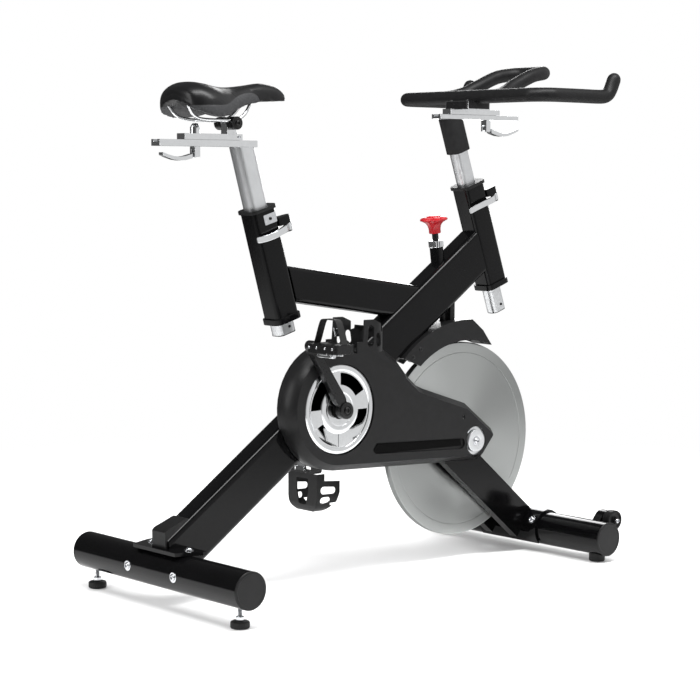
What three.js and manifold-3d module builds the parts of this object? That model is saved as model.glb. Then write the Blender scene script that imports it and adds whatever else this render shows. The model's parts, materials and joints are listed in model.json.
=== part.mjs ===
// An indoor exercise bike: a steel frame on two stabiliser tubes, a belt-driven flywheel with a
// friction brake, and a saddle and a handlebar that both slide up and down and fore and aft.
// Millimetres. +X is the front of the bike, +Y is the rider's left, +Z is up, and the origin is on
// the floor under the middle of the bike. The drive side, with the belt, is on the right (-Y).
import * as THREE from "three";
import { mergeVertices } from "three/addons/utils/BufferGeometryUtils.js";
import Module from "manifold-3d";

const wasm = await Module();
wasm.setup();

// ------------------------------------------------------------------ driving dimensions
const GAP = 0.3; // between pieces that touch or slide on each other
const DEEP = 400; // longer than any piece a cutting tool has to pass through

const REAR_BAR = { x: -560, z: 80.8, radius: 40, half: 289 }; // stabiliser tubes, along Y
const FRONT_BAR = { x: 517, z: 55.4, radius: 40, half: 289 };
const END_CAP = 3; // how far a tube's end cap stands out
const FOOT_Y = 256; // levelling feet and rubber pads, either side
const TRANSPORT = { x: 576, z: 90, radius: 24, inner: 238, outer: 262, pin: 5 };

const BEAM = { z: 487.5, angle: 35, depth: 100, width: 60, corner: 13, wall: 3 };
const BEAM_END = -571; // the beam's upright rear end
const PLATE = { rear: -590, wide: -535, front: -524, half: 98, narrow: 75, bottom: 121.2, top: 129 };
const SHELL = { outer: 27, inner: 20, half: 37 }; // bottom bracket shell
const TOP_TUBE = { x: -210, z: 670.7, angle: -8.4, depth: 79, width: 50, wall: 2.5 };
const LEG = { x: -14, z: 476, angle: -39.7, depth: 80, thick: 24, wall: 3, rear: -45, front: 640 };
const BRACKET = { thick: 6, half: 96 }; // shell round the front stabiliser

const POST_TUBE = { depth: 63, width: 53, ahead: 3.5, corner: 10, wall: 2, foot: 13 };
const SEAT = { x: -237, z: 567, lean: 16.2, low: 26, high: 277, lever: 226, post: [49, 40, 14] };
const BARS = { x: 427.5, z: 589, lean: 19.2, low: 61, high: 314, lever: 269, post: [42, 34, 12] };
const CLAMP = { x: 60, y: -20, pin: 5, lever: 15, tip: -45 }; // lever pin, ahead of the post

const CRANK = { x: -139, z: 395, length: 175, lean: 33 }; // the right crank leans back from upright
const ARM = { inner: 84, outer: 100, axleRadius: 9, spindle: 5 };
const PEDAL = { inner: 108, outer: 205, half: 29, height: 20 };
const CAGE = { toe: 126, top: 62, wall: 3, side: 3.5 };
const STRAP = { foot: 46, shoulder: 27, top: 64, width: 18, thick: 2 };

const WHEEL = { x: 287, z: 288.6, radius: 230, right: -20, left: -2, hub: 30 }; // the flywheel
const AXLE = { radius: 8, right: -72, left: 66, cap: 26 };
const BELT = { right: -67, left: -57, thick: 3 };
const BIG_PULLEY = 104;
const SMALL_PULLEY = 32;
const COVER = { face: -78, tipFace: -74, rim: -34.5, wall: 2.5, bevel: 14, opening: 101.5 };
const FENDER = { inner: 236, outer: 285, right: -42, left: 20, wall: 3 };
const BRAKE = { lean: 7.7, y: 0, padY: -11, rod: 7.5, pad: 236.5, boss: 460, knob: 493, top: 535 };

const SEAT_RAIL = { rear: -580, front: -322, bottom: 971, top: 985, bolt: -478, slot: [-62, 40] };
const BARS_RAIL = { rear: 222, front: 482, bottom: 1044, top: 1055, bolt: 386, slot: [-34, 62] };
const RAIL_HALF = 15;
const SEAT_LEVER = { pivot: 955, reach: -88, sag: 10 }; // slider levers, from their cross pins
const BARS_LEVER = { pivot: 1023, reach: 104, sag: 13 };
const TILT = { x: -390, z: 1021 }; // the saddle clamp's cross pin
const GRIP = 16.5; // radius of the handlebar's grips
const BAR = { x: 325, z: 1097, half: 240, corner: 48, horn: 540 }; // centre line of the grips

// ------------------------------------------------------------------ looks of the pieces
const paint = (color, roughness, metalness) => ({ color, roughness, metalness });
const LOOKS = {
  gloss_black: paint(0x0b0b0c, 0.25, 0.0),
  satin_black: paint(0x262626, 0.55, 0.0),
  rubber: paint(0x161616, 0.9, 0.0),
  foam: paint(0x1d1d1d, 0.85, 0.0),
  red: paint(0xb3121d, 0.35, 0.0),
  chrome: paint(0xd8dadc, 0.08, 1.0),
  satin_steel: paint(0xb9bcbd, 0.35, 1.0),
  zinc: paint(0xa9adb0, 0.3, 1.0),
};

// ------------------------------------------------------------------ solids, cuts and joins
const degrees = (angle) => (angle * Math.PI) / 180;

function toSolid(geometry) {
  const bare = geometry.clone();
  bare.deleteAttribute("normal");
  bare.deleteAttribute("uv");
  const merged = mergeVertices(bare, 1e-4);
  return new wasm.Manifold(
    new wasm.Mesh({
      numProp: 3,
      vertProperties: merged.attributes.position.array,
      triVerts: new Uint32Array(merged.index.array),
    }),
  );
}

function toGeometry(solid) {
  const mesh = solid.getMesh();
  const position = new THREE.BufferAttribute(mesh.vertProperties, 3);
  const geometry = new THREE.BufferGeometry().setAttribute("position", position);
  geometry.setIndex(new THREE.BufferAttribute(mesh.triVerts, 1));
  geometry.computeVertexNormals();
  return geometry;
}

const join = (...pieces) => toGeometry(pieces.map(toSolid).reduce((a, b) => a.add(b)));
const cut = (piece, ...tools) =>
  toGeometry(tools.map(toSolid).reduce((a, b) => a.subtract(b), toSolid(piece)));
const common = (...pieces) => toGeometry(pieces.map(toSolid).reduce((a, b) => a.intersect(b)));

// ------------------------------------------------------------------ outlines
const polygon = (points) => new THREE.Shape(points.map(([a, b]) => new THREE.Vector2(a, b)));

// Points on an arc about (a, b), from one angle to another in degrees.
function arc(a, b, radius, from, to, steps) {
  return Array.from({ length: steps + 1 }, (_, i) => {
    const angle = degrees(from + ((to - from) * i) / steps);
    return [a + radius * Math.cos(angle), b + radius * Math.sin(angle)];
  });
}

function circle(radius, sides, a = 0, b = 0) {
  return polygon(arc(a, b, radius, 0, 360 - 360 / sides, sides - 1));
}

function roundedBox(width, height, corner, a = 0, b = 0, steps = 3) {
  const x = width / 2 - corner;
  const y = height / 2 - corner;
  return polygon([
    ...arc(a + x, b + y, corner, 0, 90, steps),
    ...arc(a - x, b + y, corner, 90, 180, steps),
    ...arc(a - x, b - y, corner, 180, 270, steps),
    ...arc(a + x, b - y, corner, 270, 360, steps),
  ]);
}

// The outline round two circles and the straight lines that touch both.
function link(from, fromRadius, to, toRadius, steps = 8) {
  const along = Math.atan2(to[1] - from[1], to[0] - from[0]);
  const apart = Math.hypot(to[0] - from[0], to[1] - from[1]);
  const axis = (along * 180) / Math.PI;
  const side = (Math.acos((fromRadius - toRadius) / apart) * 180) / Math.PI;
  return polygon([
    ...arc(to[0], to[1], toRadius, axis - side, axis + side, steps),
    ...arc(from[0], from[1], fromRadius, axis + side, axis + 360 - side, steps),
  ]);
}

// ------------------------------------------------------------------ basic bodies
const box = (x0, x1, y0, y1, z0, z1) =>
  new THREE.BoxGeometry(x1 - x0, y1 - y0, z1 - z0).translate(
    (x0 + x1) / 2,
    (y0 + y1) / 2,
    (z0 + z1) / 2,
  );

const extrude = (shape, depth) =>
  new THREE.ExtrudeGeometry(shape, { depth, bevelEnabled: false, steps: 1 });

// An outline drawn in X and Z, from y0 to y1.
const slabY = (shape, y0, y1) =>
  extrude(shape, y1 - y0)
    .rotateX(Math.PI / 2)
    .translate(0, y1, 0);

// An outline drawn in X and Y, from z0 to z1.
const slabZ = (shape, z0, z1) => extrude(shape, z1 - z0).translate(0, 0, z0);

// An outline drawn in Y and Z, from x0 to x1.
const TURN_TO_X = new THREE.Matrix4().makeBasis(
  new THREE.Vector3(0, 1, 0),
  new THREE.Vector3(0, 0, 1),
  new THREE.Vector3(1, 0, 0),
);
const slabX = (shape, x0, x1) =>
  extrude(shape, x1 - x0)
    .applyMatrix4(TURN_TO_X)
    .translate(x0, 0, 0);

const rodY = (radius, y0, y1, x, z, sides = 20) => slabY(circle(radius, sides, x, z), y0, y1);
const rodZ = (radius, z0, z1, x = 0, y = 0, sides = 20) =>
  slabZ(circle(radius, sides, x, y), z0, z1);

// A body turned about the Z axis from a list of [radius, height], bottom to top.
const turnedZ = (profile, sides) =>
  new THREE.LatheGeometry(
    profile.map(([r, h]) => new THREE.Vector2(r, h)),
    sides,
  ).rotateX(Math.PI / 2);

// A round tube along a smooth curve through the given points.
function tubeAlong(points, radius, steps, sides, tension = 0.5) {
  const curve = new THREE.CatmullRomCurve3(
    points.map(([x, y, z]) => new THREE.Vector3(x, y, z)),
    false,
    "catmullrom",
    tension,
  );
  return new THREE.ExtrudeGeometry(circle(radius, sides), {
    steps,
    extrudePath: curve,
    bevelEnabled: false,
  });
}

// ------------------------------------------------------------------ groups and meshes
const bike = new THREE.Group();

// A group at (x, z) whose X axis is tilted up by an angle, so its Z axis leans back by as much.
function tilted(x, z, angle, parent = bike) {
  const group = new THREE.Group();
  group.position.set(x, 0, z);
  group.rotation.y = -degrees(angle);
  parent.add(group);
  group.updateWorldMatrix(true, false);
  return group;
}

// A body drawn in one group, moved to where it is in another group's coordinates.
function seenFrom(group, geometry, home = bike) {
  const toGroup = group.matrixWorld.clone().invert().multiply(home.matrixWorld);
  return geometry.clone().applyMatrix4(toGroup);
}

function piece(name, geometry, look, parent = bike) {
  const mesh = new THREE.Mesh(geometry, new THREE.MeshStandardMaterial(LOOKS[look]));
  mesh.name = name;
  parent.add(mesh);
  return mesh;
}

const SIDES = [
  { side: "right", sign: -1 },
  { side: "left", sign: 1 },
];

// A slab between two distances from the middle plane, on the side the sign says.
const sideSlab = (shape, sign, inner, outer) =>
  sign > 0 ? slabY(shape, inner, outer) : slabY(shape, -outer, -inner);

// ------------------------------------------------------------------ groups along the frame
const beamAxis = tilted(0, BEAM.z, BEAM.angle);
const topTube = tilted(TOP_TUBE.x, TOP_TUBE.z, TOP_TUBE.angle);
const legs = tilted(LEG.x, LEG.z, LEG.angle);
const seatAxis = tilted(SEAT.x, SEAT.z, SEAT.lean);
const barsAxis = tilted(BARS.x, BARS.z, BARS.lean);
const brakeAxis = tilted(WHEEL.x, WHEEL.z, BRAKE.lean);

// Solid outlines of the main tubes, grown by a margin, to cut their neighbours with.
const beamRun = (from, to, grow, group = bike) =>
  seenFrom(
    group,
    slabX(
      roundedBox(BEAM.width + 2 * grow, BEAM.depth + 2 * grow, BEAM.corner + grow),
      from,
      to,
    ),
    beamAxis,
  );
const postOutline = (grow) =>
  roundedBox(
    POST_TUBE.depth + 2 * grow,
    POST_TUBE.width + 2 * grow,
    POST_TUBE.corner + grow,
    POST_TUBE.ahead,
  );
const TUBE_FRONT = POST_TUBE.ahead + POST_TUBE.depth / 2;
const TUBE_BACK = POST_TUBE.ahead - POST_TUBE.depth / 2;
const ROUND = 40; // sides of the stabilisers
const barRoom = (bar, margin = GAP) =>
  rodY(bar.radius + margin, -DEEP, DEEP, bar.x, bar.z, ROUND);
function legBody(sign, grow, home = bike) {
  const outline = polygon([
    [LEG.rear - grow, -LEG.depth / 2 - grow],
    [LEG.front + grow, -LEG.depth / 2 - grow],
    [LEG.front + grow, LEG.depth / 2 + grow],
    [LEG.rear - grow, LEG.depth / 2 + grow],
  ]);
  const inner = BEAM.width / 2 + GAP - grow;
  return seenFrom(home, sideSlab(outline, sign, inner, inner + LEG.thick + 2 * grow), legs);
}

// ------------------------------------------------------------------ frame
function makeBeam() {
  const tube = cut(beamRun(-760, 560, 0), beamRun(-761, 561, -BEAM.wall));
  const trimmed = cut(
    tube,
    box(-900, BEAM_END, -60, 60, -200, 400),
    box(-900, REAR_BAR.x + REAR_BAR.radius, -60, 60, -200, REAR_BAR.z),
  );
  const corner = (sign) => [
    [PLATE.rear, sign * PLATE.narrow],
    [PLATE.wide, sign * PLATE.half],
    [PLATE.front, sign * PLATE.half],
  ];
  const plate = slabZ(
    polygon([...corner(-1), ...corner(1).reverse()]),
    PLATE.bottom,
    PLATE.top,
  );
  const shell = rodY(SHELL.outer, -SHELL.half, SHELL.half, CRANK.x, CRANK.z, 28);
  const boss = seenFrom(bike, rodZ(16, 340, BRAKE.boss, 0, BRAKE.y), brakeAxis);
  return cut(
    join(trimmed, plate, shell, boss),
    barRoom(REAR_BAR),
    rodY(SHELL.inner, -DEEP, DEEP, CRANK.x, CRANK.z, 28),
    seenFrom(bike, rodZ(BRAKE.rod + 3.5, 300, 500, 0, BRAKE.y), brakeAxis),
    seenFrom(bike, box(TUBE_BACK - GAP, 500, -60, 60, -100, 700), barsAxis),
  );
}
piece("main_beam", makeBeam(), "gloss_black");

// A moulded cap closes the beam's rear end above the mounting plate and laps over its top.
function makeBeamCap() {
  const steel = cut(beamRun(-760, 0, GAP), box(-900, BEAM_END - GAP, -60, 60, -200, 400));
  const outline = polygon([
    [BEAM_END - 6, PLATE.top + GAP],
    [BEAM_END - 6, 163],
    [BEAM_END - 1, 169],
    [BEAM_END + 49, 188],
    [BEAM_END + 56, 187],
    [BEAM_END + 56, PLATE.top + GAP],
  ]);
  return cut(slabY(outline, -24, 24), steel);
}
piece("beam_end_cap", makeBeamCap(), "satin_black");

// The seat tube and the head tube: a rounded box tube with a moulded foot, and in front of it
// a clamp lug that holds the upright pin of the clamp lever.
function makePostTube({ low, high, lever }) {
  const shell = join(
    slabZ(postOutline(0), low, high),
    slabZ(postOutline(4.5), low, low + POST_TUBE.foot),
  );
  const bore = slabZ(postOutline(-POST_TUBE.wall), low - 1, high + 1);
  const lugLow = lever + CLAMP.lever / 2 + GAP;
  const lug = cut(
    slabZ(link([38, -15], 13, [CLAMP.x, CLAMP.y], 9, 5), lugLow, lugLow + 18),
    box(-DEEP, TUBE_FRONT - 1, -60, 60, low, high),
  );
  const pinLow = lever - CLAMP.lever / 2 - GAP;
  const pin = rodZ(CLAMP.pin, pinLow - 1, lugLow + 1, CLAMP.x, CLAMP.y, 16);
  const head = rodZ(CLAMP.pin + 3, pinLow - 3, pinLow, CLAMP.x, CLAMP.y, 16);
  return join(cut(shell, bore), lug, pin, head);
}
piece("seat_tube", makePostTube(SEAT), "gloss_black", seatAxis);
piece("head_tube", makePostTube(BARS), "gloss_black", barsAxis);

// A bush fills the room between each tube and its post, with a collar on top.
function makeBush({ high, post: [depth, width, corner] }) {
  const collar = slabZ(postOutline(4.5), high + GAP, high + 8);
  const liner = slabZ(postOutline(-POST_TUBE.wall - GAP), high - 70, high + 1);
  const bore = slabZ(
    roundedBox(depth + 2 * GAP, width + 2 * GAP, corner + GAP),
    high - 100,
    high + 100,
  );
  return cut(join(collar, liner), bore);
}
piece("seat_tube_bush", makeBush(SEAT), "satin_black", seatAxis);
piece("head_tube_bush", makeBush(BARS), "satin_black", barsAxis);

// The top tube runs from the seat tube's front face to the top of the beam.
function makeTopTube() {
  const section = (grow) =>
    roundedBox(TOP_TUBE.width + 2 * grow, TOP_TUBE.depth + 2 * grow, 12 + grow);
  return cut(
    slabX(section(0), -80, 420),
    slabX(section(-TOP_TUBE.wall), -81, 421),
    seenFrom(topTube, box(-DEEP, TUBE_FRONT + GAP, -60, 60, -100, 500), seatAxis),
    seenFrom(topTube, box(-DEEP, 700, -60, 60, -DEEP, BEAM.depth / 2 + GAP), beamAxis),
  );
}
piece("top_tube", makeTopTube(), "gloss_black", topTube);

// Each fork leg is a flat box tube from the side of the beam to the front stabiliser.
function makeLeg(sign) {
  const inner = BEAM.width / 2 + GAP;
  const hollow = polygon([
    [LEG.rear + LEG.wall, -LEG.depth / 2 + LEG.wall],
    [LEG.front + 1, -LEG.depth / 2 + LEG.wall],
    [LEG.front + 1, LEG.depth / 2 - LEG.wall],
    [LEG.rear + LEG.wall, LEG.depth / 2 - LEG.wall],
  ]);
  const room = sideSlab(hollow, sign, inner + LEG.wall, inner + LEG.thick - LEG.wall);
  const axleSeat = sideSlab(circle(14, 24, WHEEL.x, WHEEL.z), sign, inner, inner + LEG.thick);
  return cut(
    join(cut(legBody(sign, 0), seenFrom(bike, room, legs)), axleSeat),
    rodY(AXLE.radius + GAP, -DEEP, DEEP, WHEEL.x, WHEEL.z),
    rodY(SHELL.outer + 1, -DEEP, DEEP, CRANK.x, CRANK.z, 28),
    barRoom(FRONT_BAR, BRACKET.thick + GAP),
  );
}
SIDES.forEach(({ side, sign }) => piece(side + "_fork_leg", makeLeg(sign), "gloss_black"));

// The bracket that carries both legs wraps the back and the top of the front stabiliser.
function makeFrontBracket() {
  const outer = FRONT_BAR.radius + BRACKET.thick;
  const ring = cut(
    rodY(outer, -BRACKET.half, BRACKET.half, FRONT_BAR.x, FRONT_BAR.z, ROUND),
    barRoom(FRONT_BAR),
  );
  return cut(ring, box(FRONT_BAR.x - 30, 700, -DEEP, DEEP, -50, FRONT_BAR.z + 24));
}
piece("front_bracket", makeFrontBracket(), "gloss_black");

// ------------------------------------------------------------------ stabilisers, feet, wheels
const stem = (y) => rodZ(5 + GAP, 20, REAR_BAR.z, REAR_BAR.x, y);

function makeBarTube(bar, extras, holes) {
  const tube = rodY(bar.radius, -bar.half, bar.half, bar.x, bar.z, ROUND);
  const bore = rodY(bar.radius - 3, -bar.half - 1, bar.half + 1, bar.x, bar.z, ROUND);
  return cut(join(tube, ...extras), bore, ...holes);
}

// Each transport wheel turns on a pin held out in front of the tube by a thick bracket.
function wheelBracket(sign) {
  const { x, z, radius, inner, outer, pin } = TRANSPORT;
  const arm = link([FRONT_BAR.x + 26, FRONT_BAR.z + 12], 12, [x, z], radius - 2, 6);
  return [
    sideSlab(arm, sign, inner - 24, inner - 1),
    sideSlab(circle(pin, 16, x, z), sign, inner - 4, outer + 1.5),
    sideSlab(circle(pin + 4, 16, x, z), sign, outer + 0.8, outer + 4),
  ];
}
const brackets = SIDES.flatMap(({ sign }) => wheelBracket(sign));
piece("rear_stabiliser", makeBarTube(REAR_BAR, [], [stem(FOOT_Y), stem(-FOOT_Y)]), "gloss_black");
piece("front_stabiliser", makeBarTube(FRONT_BAR, brackets, []), "gloss_black");

function makeEndCap(bar, sign) {
  const disc = (radius, inner, outer) =>
    sideSlab(circle(radius, ROUND, bar.x, bar.z), sign, inner, outer);
  return join(
    disc(bar.radius - 3 - GAP, bar.half - 20, bar.half + 1),
    disc(bar.radius, bar.half + GAP, bar.half + END_CAP),
  );
}

function makeTransportWheel(sign) {
  const { x, z, radius, inner, outer, pin } = TRANSPORT;
  const disc = (size, from, to) => sideSlab(circle(size, 28, x, z), sign, from, to);
  return cut(
    disc(radius, inner, outer),
    cut(disc(radius - 6, outer - 6, outer + 1), disc(10, outer - 7, outer + 2)),
    disc(pin + GAP, inner - 1, outer + 1),
  );
}

// A levelling foot: a rubber pad moulded on a threaded stem with a locking nut.
function makeFoot(y) {
  const pad = turnedZ([[0, 0], [18, 0], [20, 2], [20, 12], [17, 15], [0, 15]], 28);
  return join(
    pad.translate(REAR_BAR.x, y, 0),
    slabZ(circle(9, 6, REAR_BAR.x, y), 14, 22),
    rodZ(5, 20, REAR_BAR.z - 10, REAR_BAR.x, y, 16),
  );
}

function makeFrontPad(y) {
  const pad = turnedZ([[0, 0], [17, 0], [19, 2], [19, 30], [0, 30]], 28);
  return cut(pad.translate(FRONT_BAR.x, y, 0), barRoom(FRONT_BAR));
}

SIDES.forEach(({ side, sign }) => {
  piece("rear_" + side + "_end_cap", makeEndCap(REAR_BAR, sign), "satin_black");
  piece("front_" + side + "_end_cap", makeEndCap(FRONT_BAR, sign), "satin_black");
  piece("rear_" + side + "_foot", makeFoot(sign * FOOT_Y), "rubber");
  piece("front_" + side + "_pad", makeFrontPad(sign * FOOT_Y), "rubber");
  piece(side + "_transport_wheel", makeTransportWheel(sign), "satin_black");
});

// ------------------------------------------------------------------ bottom bracket, cranks
const atCrank = ([a, b]) => [CRANK.x + a, CRANK.z + b];
const crankRod = (radius, y0, y1, sides = 28) => rodY(radius, y0, y1, CRANK.x, CRANK.z, sides);
const axleBore = crankRod(ARM.axleRadius + GAP, -DEEP, DEEP);

function makeBottomBracket() {
  const end = SHELL.half + 3;
  const rims = [crankRod(24, SHELL.half + GAP, end), crankRod(24, -end, -SHELL.half - GAP)];
  return cut(join(crankRod(SHELL.inner - GAP, -end, end), ...rims), axleBore);
}
piece("bottom_bracket", makeBottomBracket(), "zinc");
piece("crank_axle", crankRod(ARM.axleRadius, -ARM.outer + 3, ARM.outer - 3), "satin_steel");

function makeDrivePulley() {
  const rim = cut(crankRod(BIG_PULLEY, -70, -55, 64), crankRod(BIG_PULLEY - 12, -64, -54, 48));
  const lips = [crankRod(BIG_PULLEY + 4, -70, BELT.right - GAP, 64)];
  return cut(join(rim, ...lips, crankRod(24, -65, -43)), axleBore);
}
piece("drive_pulley", makeDrivePulley(), "satin_black");

// The bright cover on the pulley: a rim, a hub and five spokes between five open windows.
function makeSpider() {
  const SPOKES = 5;
  const windows = Array.from({ length: SPOKES }, (_, i) => {
    const start = 90 + (360 / SPOKES) * i + 10;
    const outline = [
      ...arc(CRANK.x, CRANK.z, 83, start, start + 360 / SPOKES - 20, 8),
      ...arc(CRANK.x, CRANK.z, 40, start + 360 / SPOKES - 26, start + 6, 5),
    ];
    return slabY(polygon(outline), -80, -60);
  });
  const hub = crankRod(21, -ARM.inner + GAP, -71);
  return cut(join(crankRod(99.5, -75, -70.3, 64), hub), axleBore, ...windows);
}
piece("pulley_spider", makeSpider(), "chrome");

function crankEnd(sign) {
  const angle = degrees(90 + CRANK.lean);
  const reach = -sign * CRANK.length;
  return atCrank([reach * Math.cos(angle), reach * Math.sin(angle)]);
}

// Each crank arm carries its pedal's spindle.
function makeCrank(sign) {
  const end = crankEnd(sign);
  const arm = sideSlab(link([CRANK.x, CRANK.z], 19, end, 13, 12), sign, ARM.inner, ARM.outer);
  const collar = sideSlab(circle(9, 20, ...end), sign, ARM.outer - 1, PEDAL.inner - GAP);
  const spindle = sideSlab(circle(ARM.spindle, 16, ...end), sign, ARM.outer - 1, PEDAL.outer - 6);
  return cut(join(arm, collar, spindle), axleBore);
}
piece("right_crank", makeCrank(-1), "satin_black");
piece("left_crank", makeCrank(1), "satin_black");

// ------------------------------------------------------------------ pedals
// A pedal is drawn level, in a group on its spindle. The left one hangs with its toe down.
const bodyOutline = (grow) =>
  roundedBox(2 * (PEDAL.half + grow), PEDAL.outer - PEDAL.inner + 2 * grow, 9 + grow);
const PEDAL_MIDDLE = (PEDAL.inner + PEDAL.outer) / 2;
const PEDAL_HALF = (PEDAL.outer - PEDAL.inner) / 2;

function makePedalBody(sign) {
  const block = slabZ(bodyOutline(0), -PEDAL.height / 2, PEDAL.height / 2);
  const windows = [-18, 18].map((x) =>
    slabZ(roundedBox(11, 64, 4, x, 0), -PEDAL.height, PEDAL.height),
  );
  const bore = rodY(ARM.spindle + GAP, -PEDAL_HALF - 1, PEDAL_HALF - 4, 0, 0);
  const turned = sign > 0 ? bore : bore.rotateZ(Math.PI);
  return cut(block, ...windows, turned).translate(0, sign * PEDAL_MIDDLE, 0);
}

// The toe cage: a scoop with a sole, two side wings and a rounded toe, open to the rear and top.
function makeCage(sign) {
  const { toe, top, wall, side } = CAGE;
  const half = PEDAL_HALF + side;
  const profile = (inset) =>
    polygon([
      [PEDAL.half + GAP - 3 * inset, -9 + inset],
      [toe - 26, -9 + inset],
      ...arc(toe - 26 - inset, 17, 26, -80, 10, 5),
      [toe - 12 - inset, 36],
      [toe - 28 - inset, top - 9],
      [toe - 50, top + 3 * inset],
      [PEDAL.half + GAP - 3 * inset, top + 3 * inset],
    ]);
  const plan = (inset) =>
    polygon([
      [0, -half + inset],
      ...arc(toe - 40 - inset, -half + inset + 36, 36, -90, -20, 5),
      ...arc(toe - 40 - inset, half - inset - 36, 36, 20, 90, 5),
      [0, half - inset],
    ]);
  const scoop = (inset) =>
    common(slabY(profile(inset), -60, 60), slabZ(plan(inset), -30, 120));
  const mouth = slabY(
    polygon([[PEDAL.half - 20, 0], [toe - 20, 36], [toe - 12, 140], [0, 140]]),
    -half + wall,
    half - wall,
  );
  const rear = slabY(polygon([[0, 15], [46, 15], [56, 140], [0, 140]]), -80, 80);
  const windows = [
    slabY(link([68, 12], 9, [70, 42], 8, 6), -80, 80),
    slabY(link([92, 10], 8, [91, 26], 7, 6), -80, 80),
    slabX(roundedBox(46, 14, 6, 0, 12), 90, 200),
  ];
  const cage = cut(scoop(0), scoop(wall), mouth, rear, ...windows);
  return cage.translate(0, sign * PEDAL_MIDDLE, 0);
}

// The strap stands on the pedal's body as a flat arch over the foot, narrower at the top.
function makeStrap(sign) {
  const { foot, shoulder, top, width, thick } = STRAP;
  const low = PEDAL.height / 2 + GAP;
  const arch = (inset) =>
    polygon([
      [foot - inset, low - inset],
      ...arc(shoulder - 10, top - 10, 10 - inset, 20, 90, 4),
      ...arc(10 - shoulder, top - 10, 10 - inset, 90, 160, 4),
      [inset - foot, low - inset],
    ]);
  const band = slabX(arch(0), -width / 2, width / 2);
  return cut(band, slabX(arch(thick), -width, width)).translate(0, sign * PEDAL_MIDDLE, 0);
}

[
  { side: "right", sign: -1, lean: 0 },
  { side: "left", sign: 1, lean: -90 },
].forEach(({ side, sign, lean }) => {
  const spindle = tilted(...crankEnd(sign), lean);
  piece(side + "_pedal", makePedalBody(sign), "satin_black", spindle);
  piece(side + "_toe_cage", makeCage(sign), "satin_black", spindle);
  piece(side + "_toe_strap", makeStrap(sign), "rubber", spindle);
});

// ------------------------------------------------------------------ flywheel and belt
const wheelRod = (radius, y0, y1, sides = 28) => rodY(radius, y0, y1, WHEEL.x, WHEEL.z, sides);

function makeFlywheel() {
  const { radius, right, left, hub } = WHEEL;
  const disc = wheelRod(radius, right, left, 72);
  const dish = cut(wheelRod(radius - 26, left - 4, left + 1, 56), wheelRod(hub + 12, left - 5, 9));
  return cut(join(cut(disc, dish), wheelRod(hub, -28, 28)), wheelRod(AXLE.radius + GAP, -90, 90));
}
piece("flywheel", makeFlywheel(), "satin_steel");

function makeAxle() {
  return join(
    wheelRod(AXLE.radius, AXLE.right - 1, AXLE.left),
    wheelRod(SMALL_PULLEY, BELT.right - 1, BELT.left + 1, 36),
    wheelRod(SMALL_PULLEY + 4, BELT.right - 2.3, BELT.right - GAP, 36),
    wheelRod(AXLE.cap, -77, AXLE.right, 32),
    wheelRod(14, 55.3, AXLE.left - 2, 6),
  );
}
piece("flywheel_axle", makeAxle(), "satin_steel");

function makeBelt() {
  const loop = (grow) =>
    link([CRANK.x, CRANK.z], BIG_PULLEY + grow, [WHEEL.x, WHEEL.z], SMALL_PULLEY + grow, 28);
  const band = slabY(loop(GAP + BELT.thick), BELT.right, BELT.left);
  return cut(band, slabY(loop(GAP), BELT.right - 1, BELT.left + 1));
}
piece("drive_belt", makeBelt(), "rubber");

// ------------------------------------------------------------------ covers
// The outline of both covers together, anticlockwise from the top of the pulley end.
const COVER_OUTLINE = [
  ...arc(-135, 399, 142, 90, 266, 22),
  [140, 246],
  [287, 241],
  ...arc(308, 262, 21, 270, 310, 3),
  ...arc(343, 298, 18, -40, 45, 4),
  [267, 378],
  [123, 424],
  [107, 430],
  [75, 457],
  [40, 496],
  [3, 520],
  [-3, 531],
];

// A slab over the covers' outline whose right-hand edge is bevelled, drawn in by a margin.
function bevelled(face, inset, back) {
  const { bevel } = COVER;
  const slab = new THREE.ExtrudeGeometry(polygon(COVER_OUTLINE), {
    depth: 60,
    steps: 1,
    bevelThickness: bevel + 4,
    bevelSize: bevel,
    bevelOffset: -bevel - inset,
    bevelSegments: 1,
  });
  const placed = slab.rotateX(Math.PI / 2).translate(0, face + 60 + bevel + 4, 0);
  return cut(placed, box(-DEEP, 600, back, 200, 0, 800));
}

// The front cover lies over the wheel's axle, on this side of the seam.
const SEAM = polygon([
  [119, 440],
  [119, 426],
  [177, 386],
  [233, 327],
  [270, 300],
  [296, 200],
  [420, 200],
  [420, 440],
]);
const AXLE_ROOM = join(wheelRod(34, -DEEP, -20, 32), wheelRod(40, COVER.tipFace + 2.8, -20, 32));

function makeDriveCover() {
  const { face, rim, wall, opening } = COVER;
  const shell = cut(bevelled(face, 0, rim), bevelled(face + wall, wall, rim + 20));
  const recess = (grow) => link([-28, 299], 13 + grow, [236, 287], 13 + grow, 6);
  const tray = slabY(recess(wall), face + 0.5, face + 7);
  return cut(
    join(shell, tray),
    slabY(recess(0), face - 1, face + 4.5),
    slabY(SEAM, -DEEP, 0),
    AXLE_ROOM,
    crankRod(opening, -DEEP, face + 20, 64),
    legBody(-1, 1.5),
    crankRod(SHELL.outer + 1, -60, 0),
  );
}
piece("drive_cover_outer", makeDriveCover(), "satin_black");

function makeTipCover() {
  const { tipFace, wall } = COVER;
  const shell = cut(bevelled(tipFace, 0, -56), bevelled(tipFace + wall, wall, -40));
  const beyondSeam = slabY(SEAM, -DEEP, 0).translate(GAP + 0.2, 0, 0);
  return cut(common(shell, beyondSeam), AXLE_ROOM, rodY(5, -DEEP, 0, 247, 348, 16));
}
piece("dropout_cover", makeTipCover(), "satin_black");

function makeInnerCover() {
  const plate = slabY(polygon(COVER_OUTLINE), COVER.rim + GAP, COVER.rim + 10);
  const overLeg = box(LEG.rear - DEEP, 900, -60, 0, -LEG.depth / 2 - 1.5, DEEP);
  return cut(
    plate,
    seenFrom(bike, overLeg, legs),
    beamRun(-760, 560, 1),
    crankRod(SHELL.outer + 1, -60, 0),
  );
}
piece("drive_cover_inner", makeInnerCover(), "satin_black");

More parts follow.
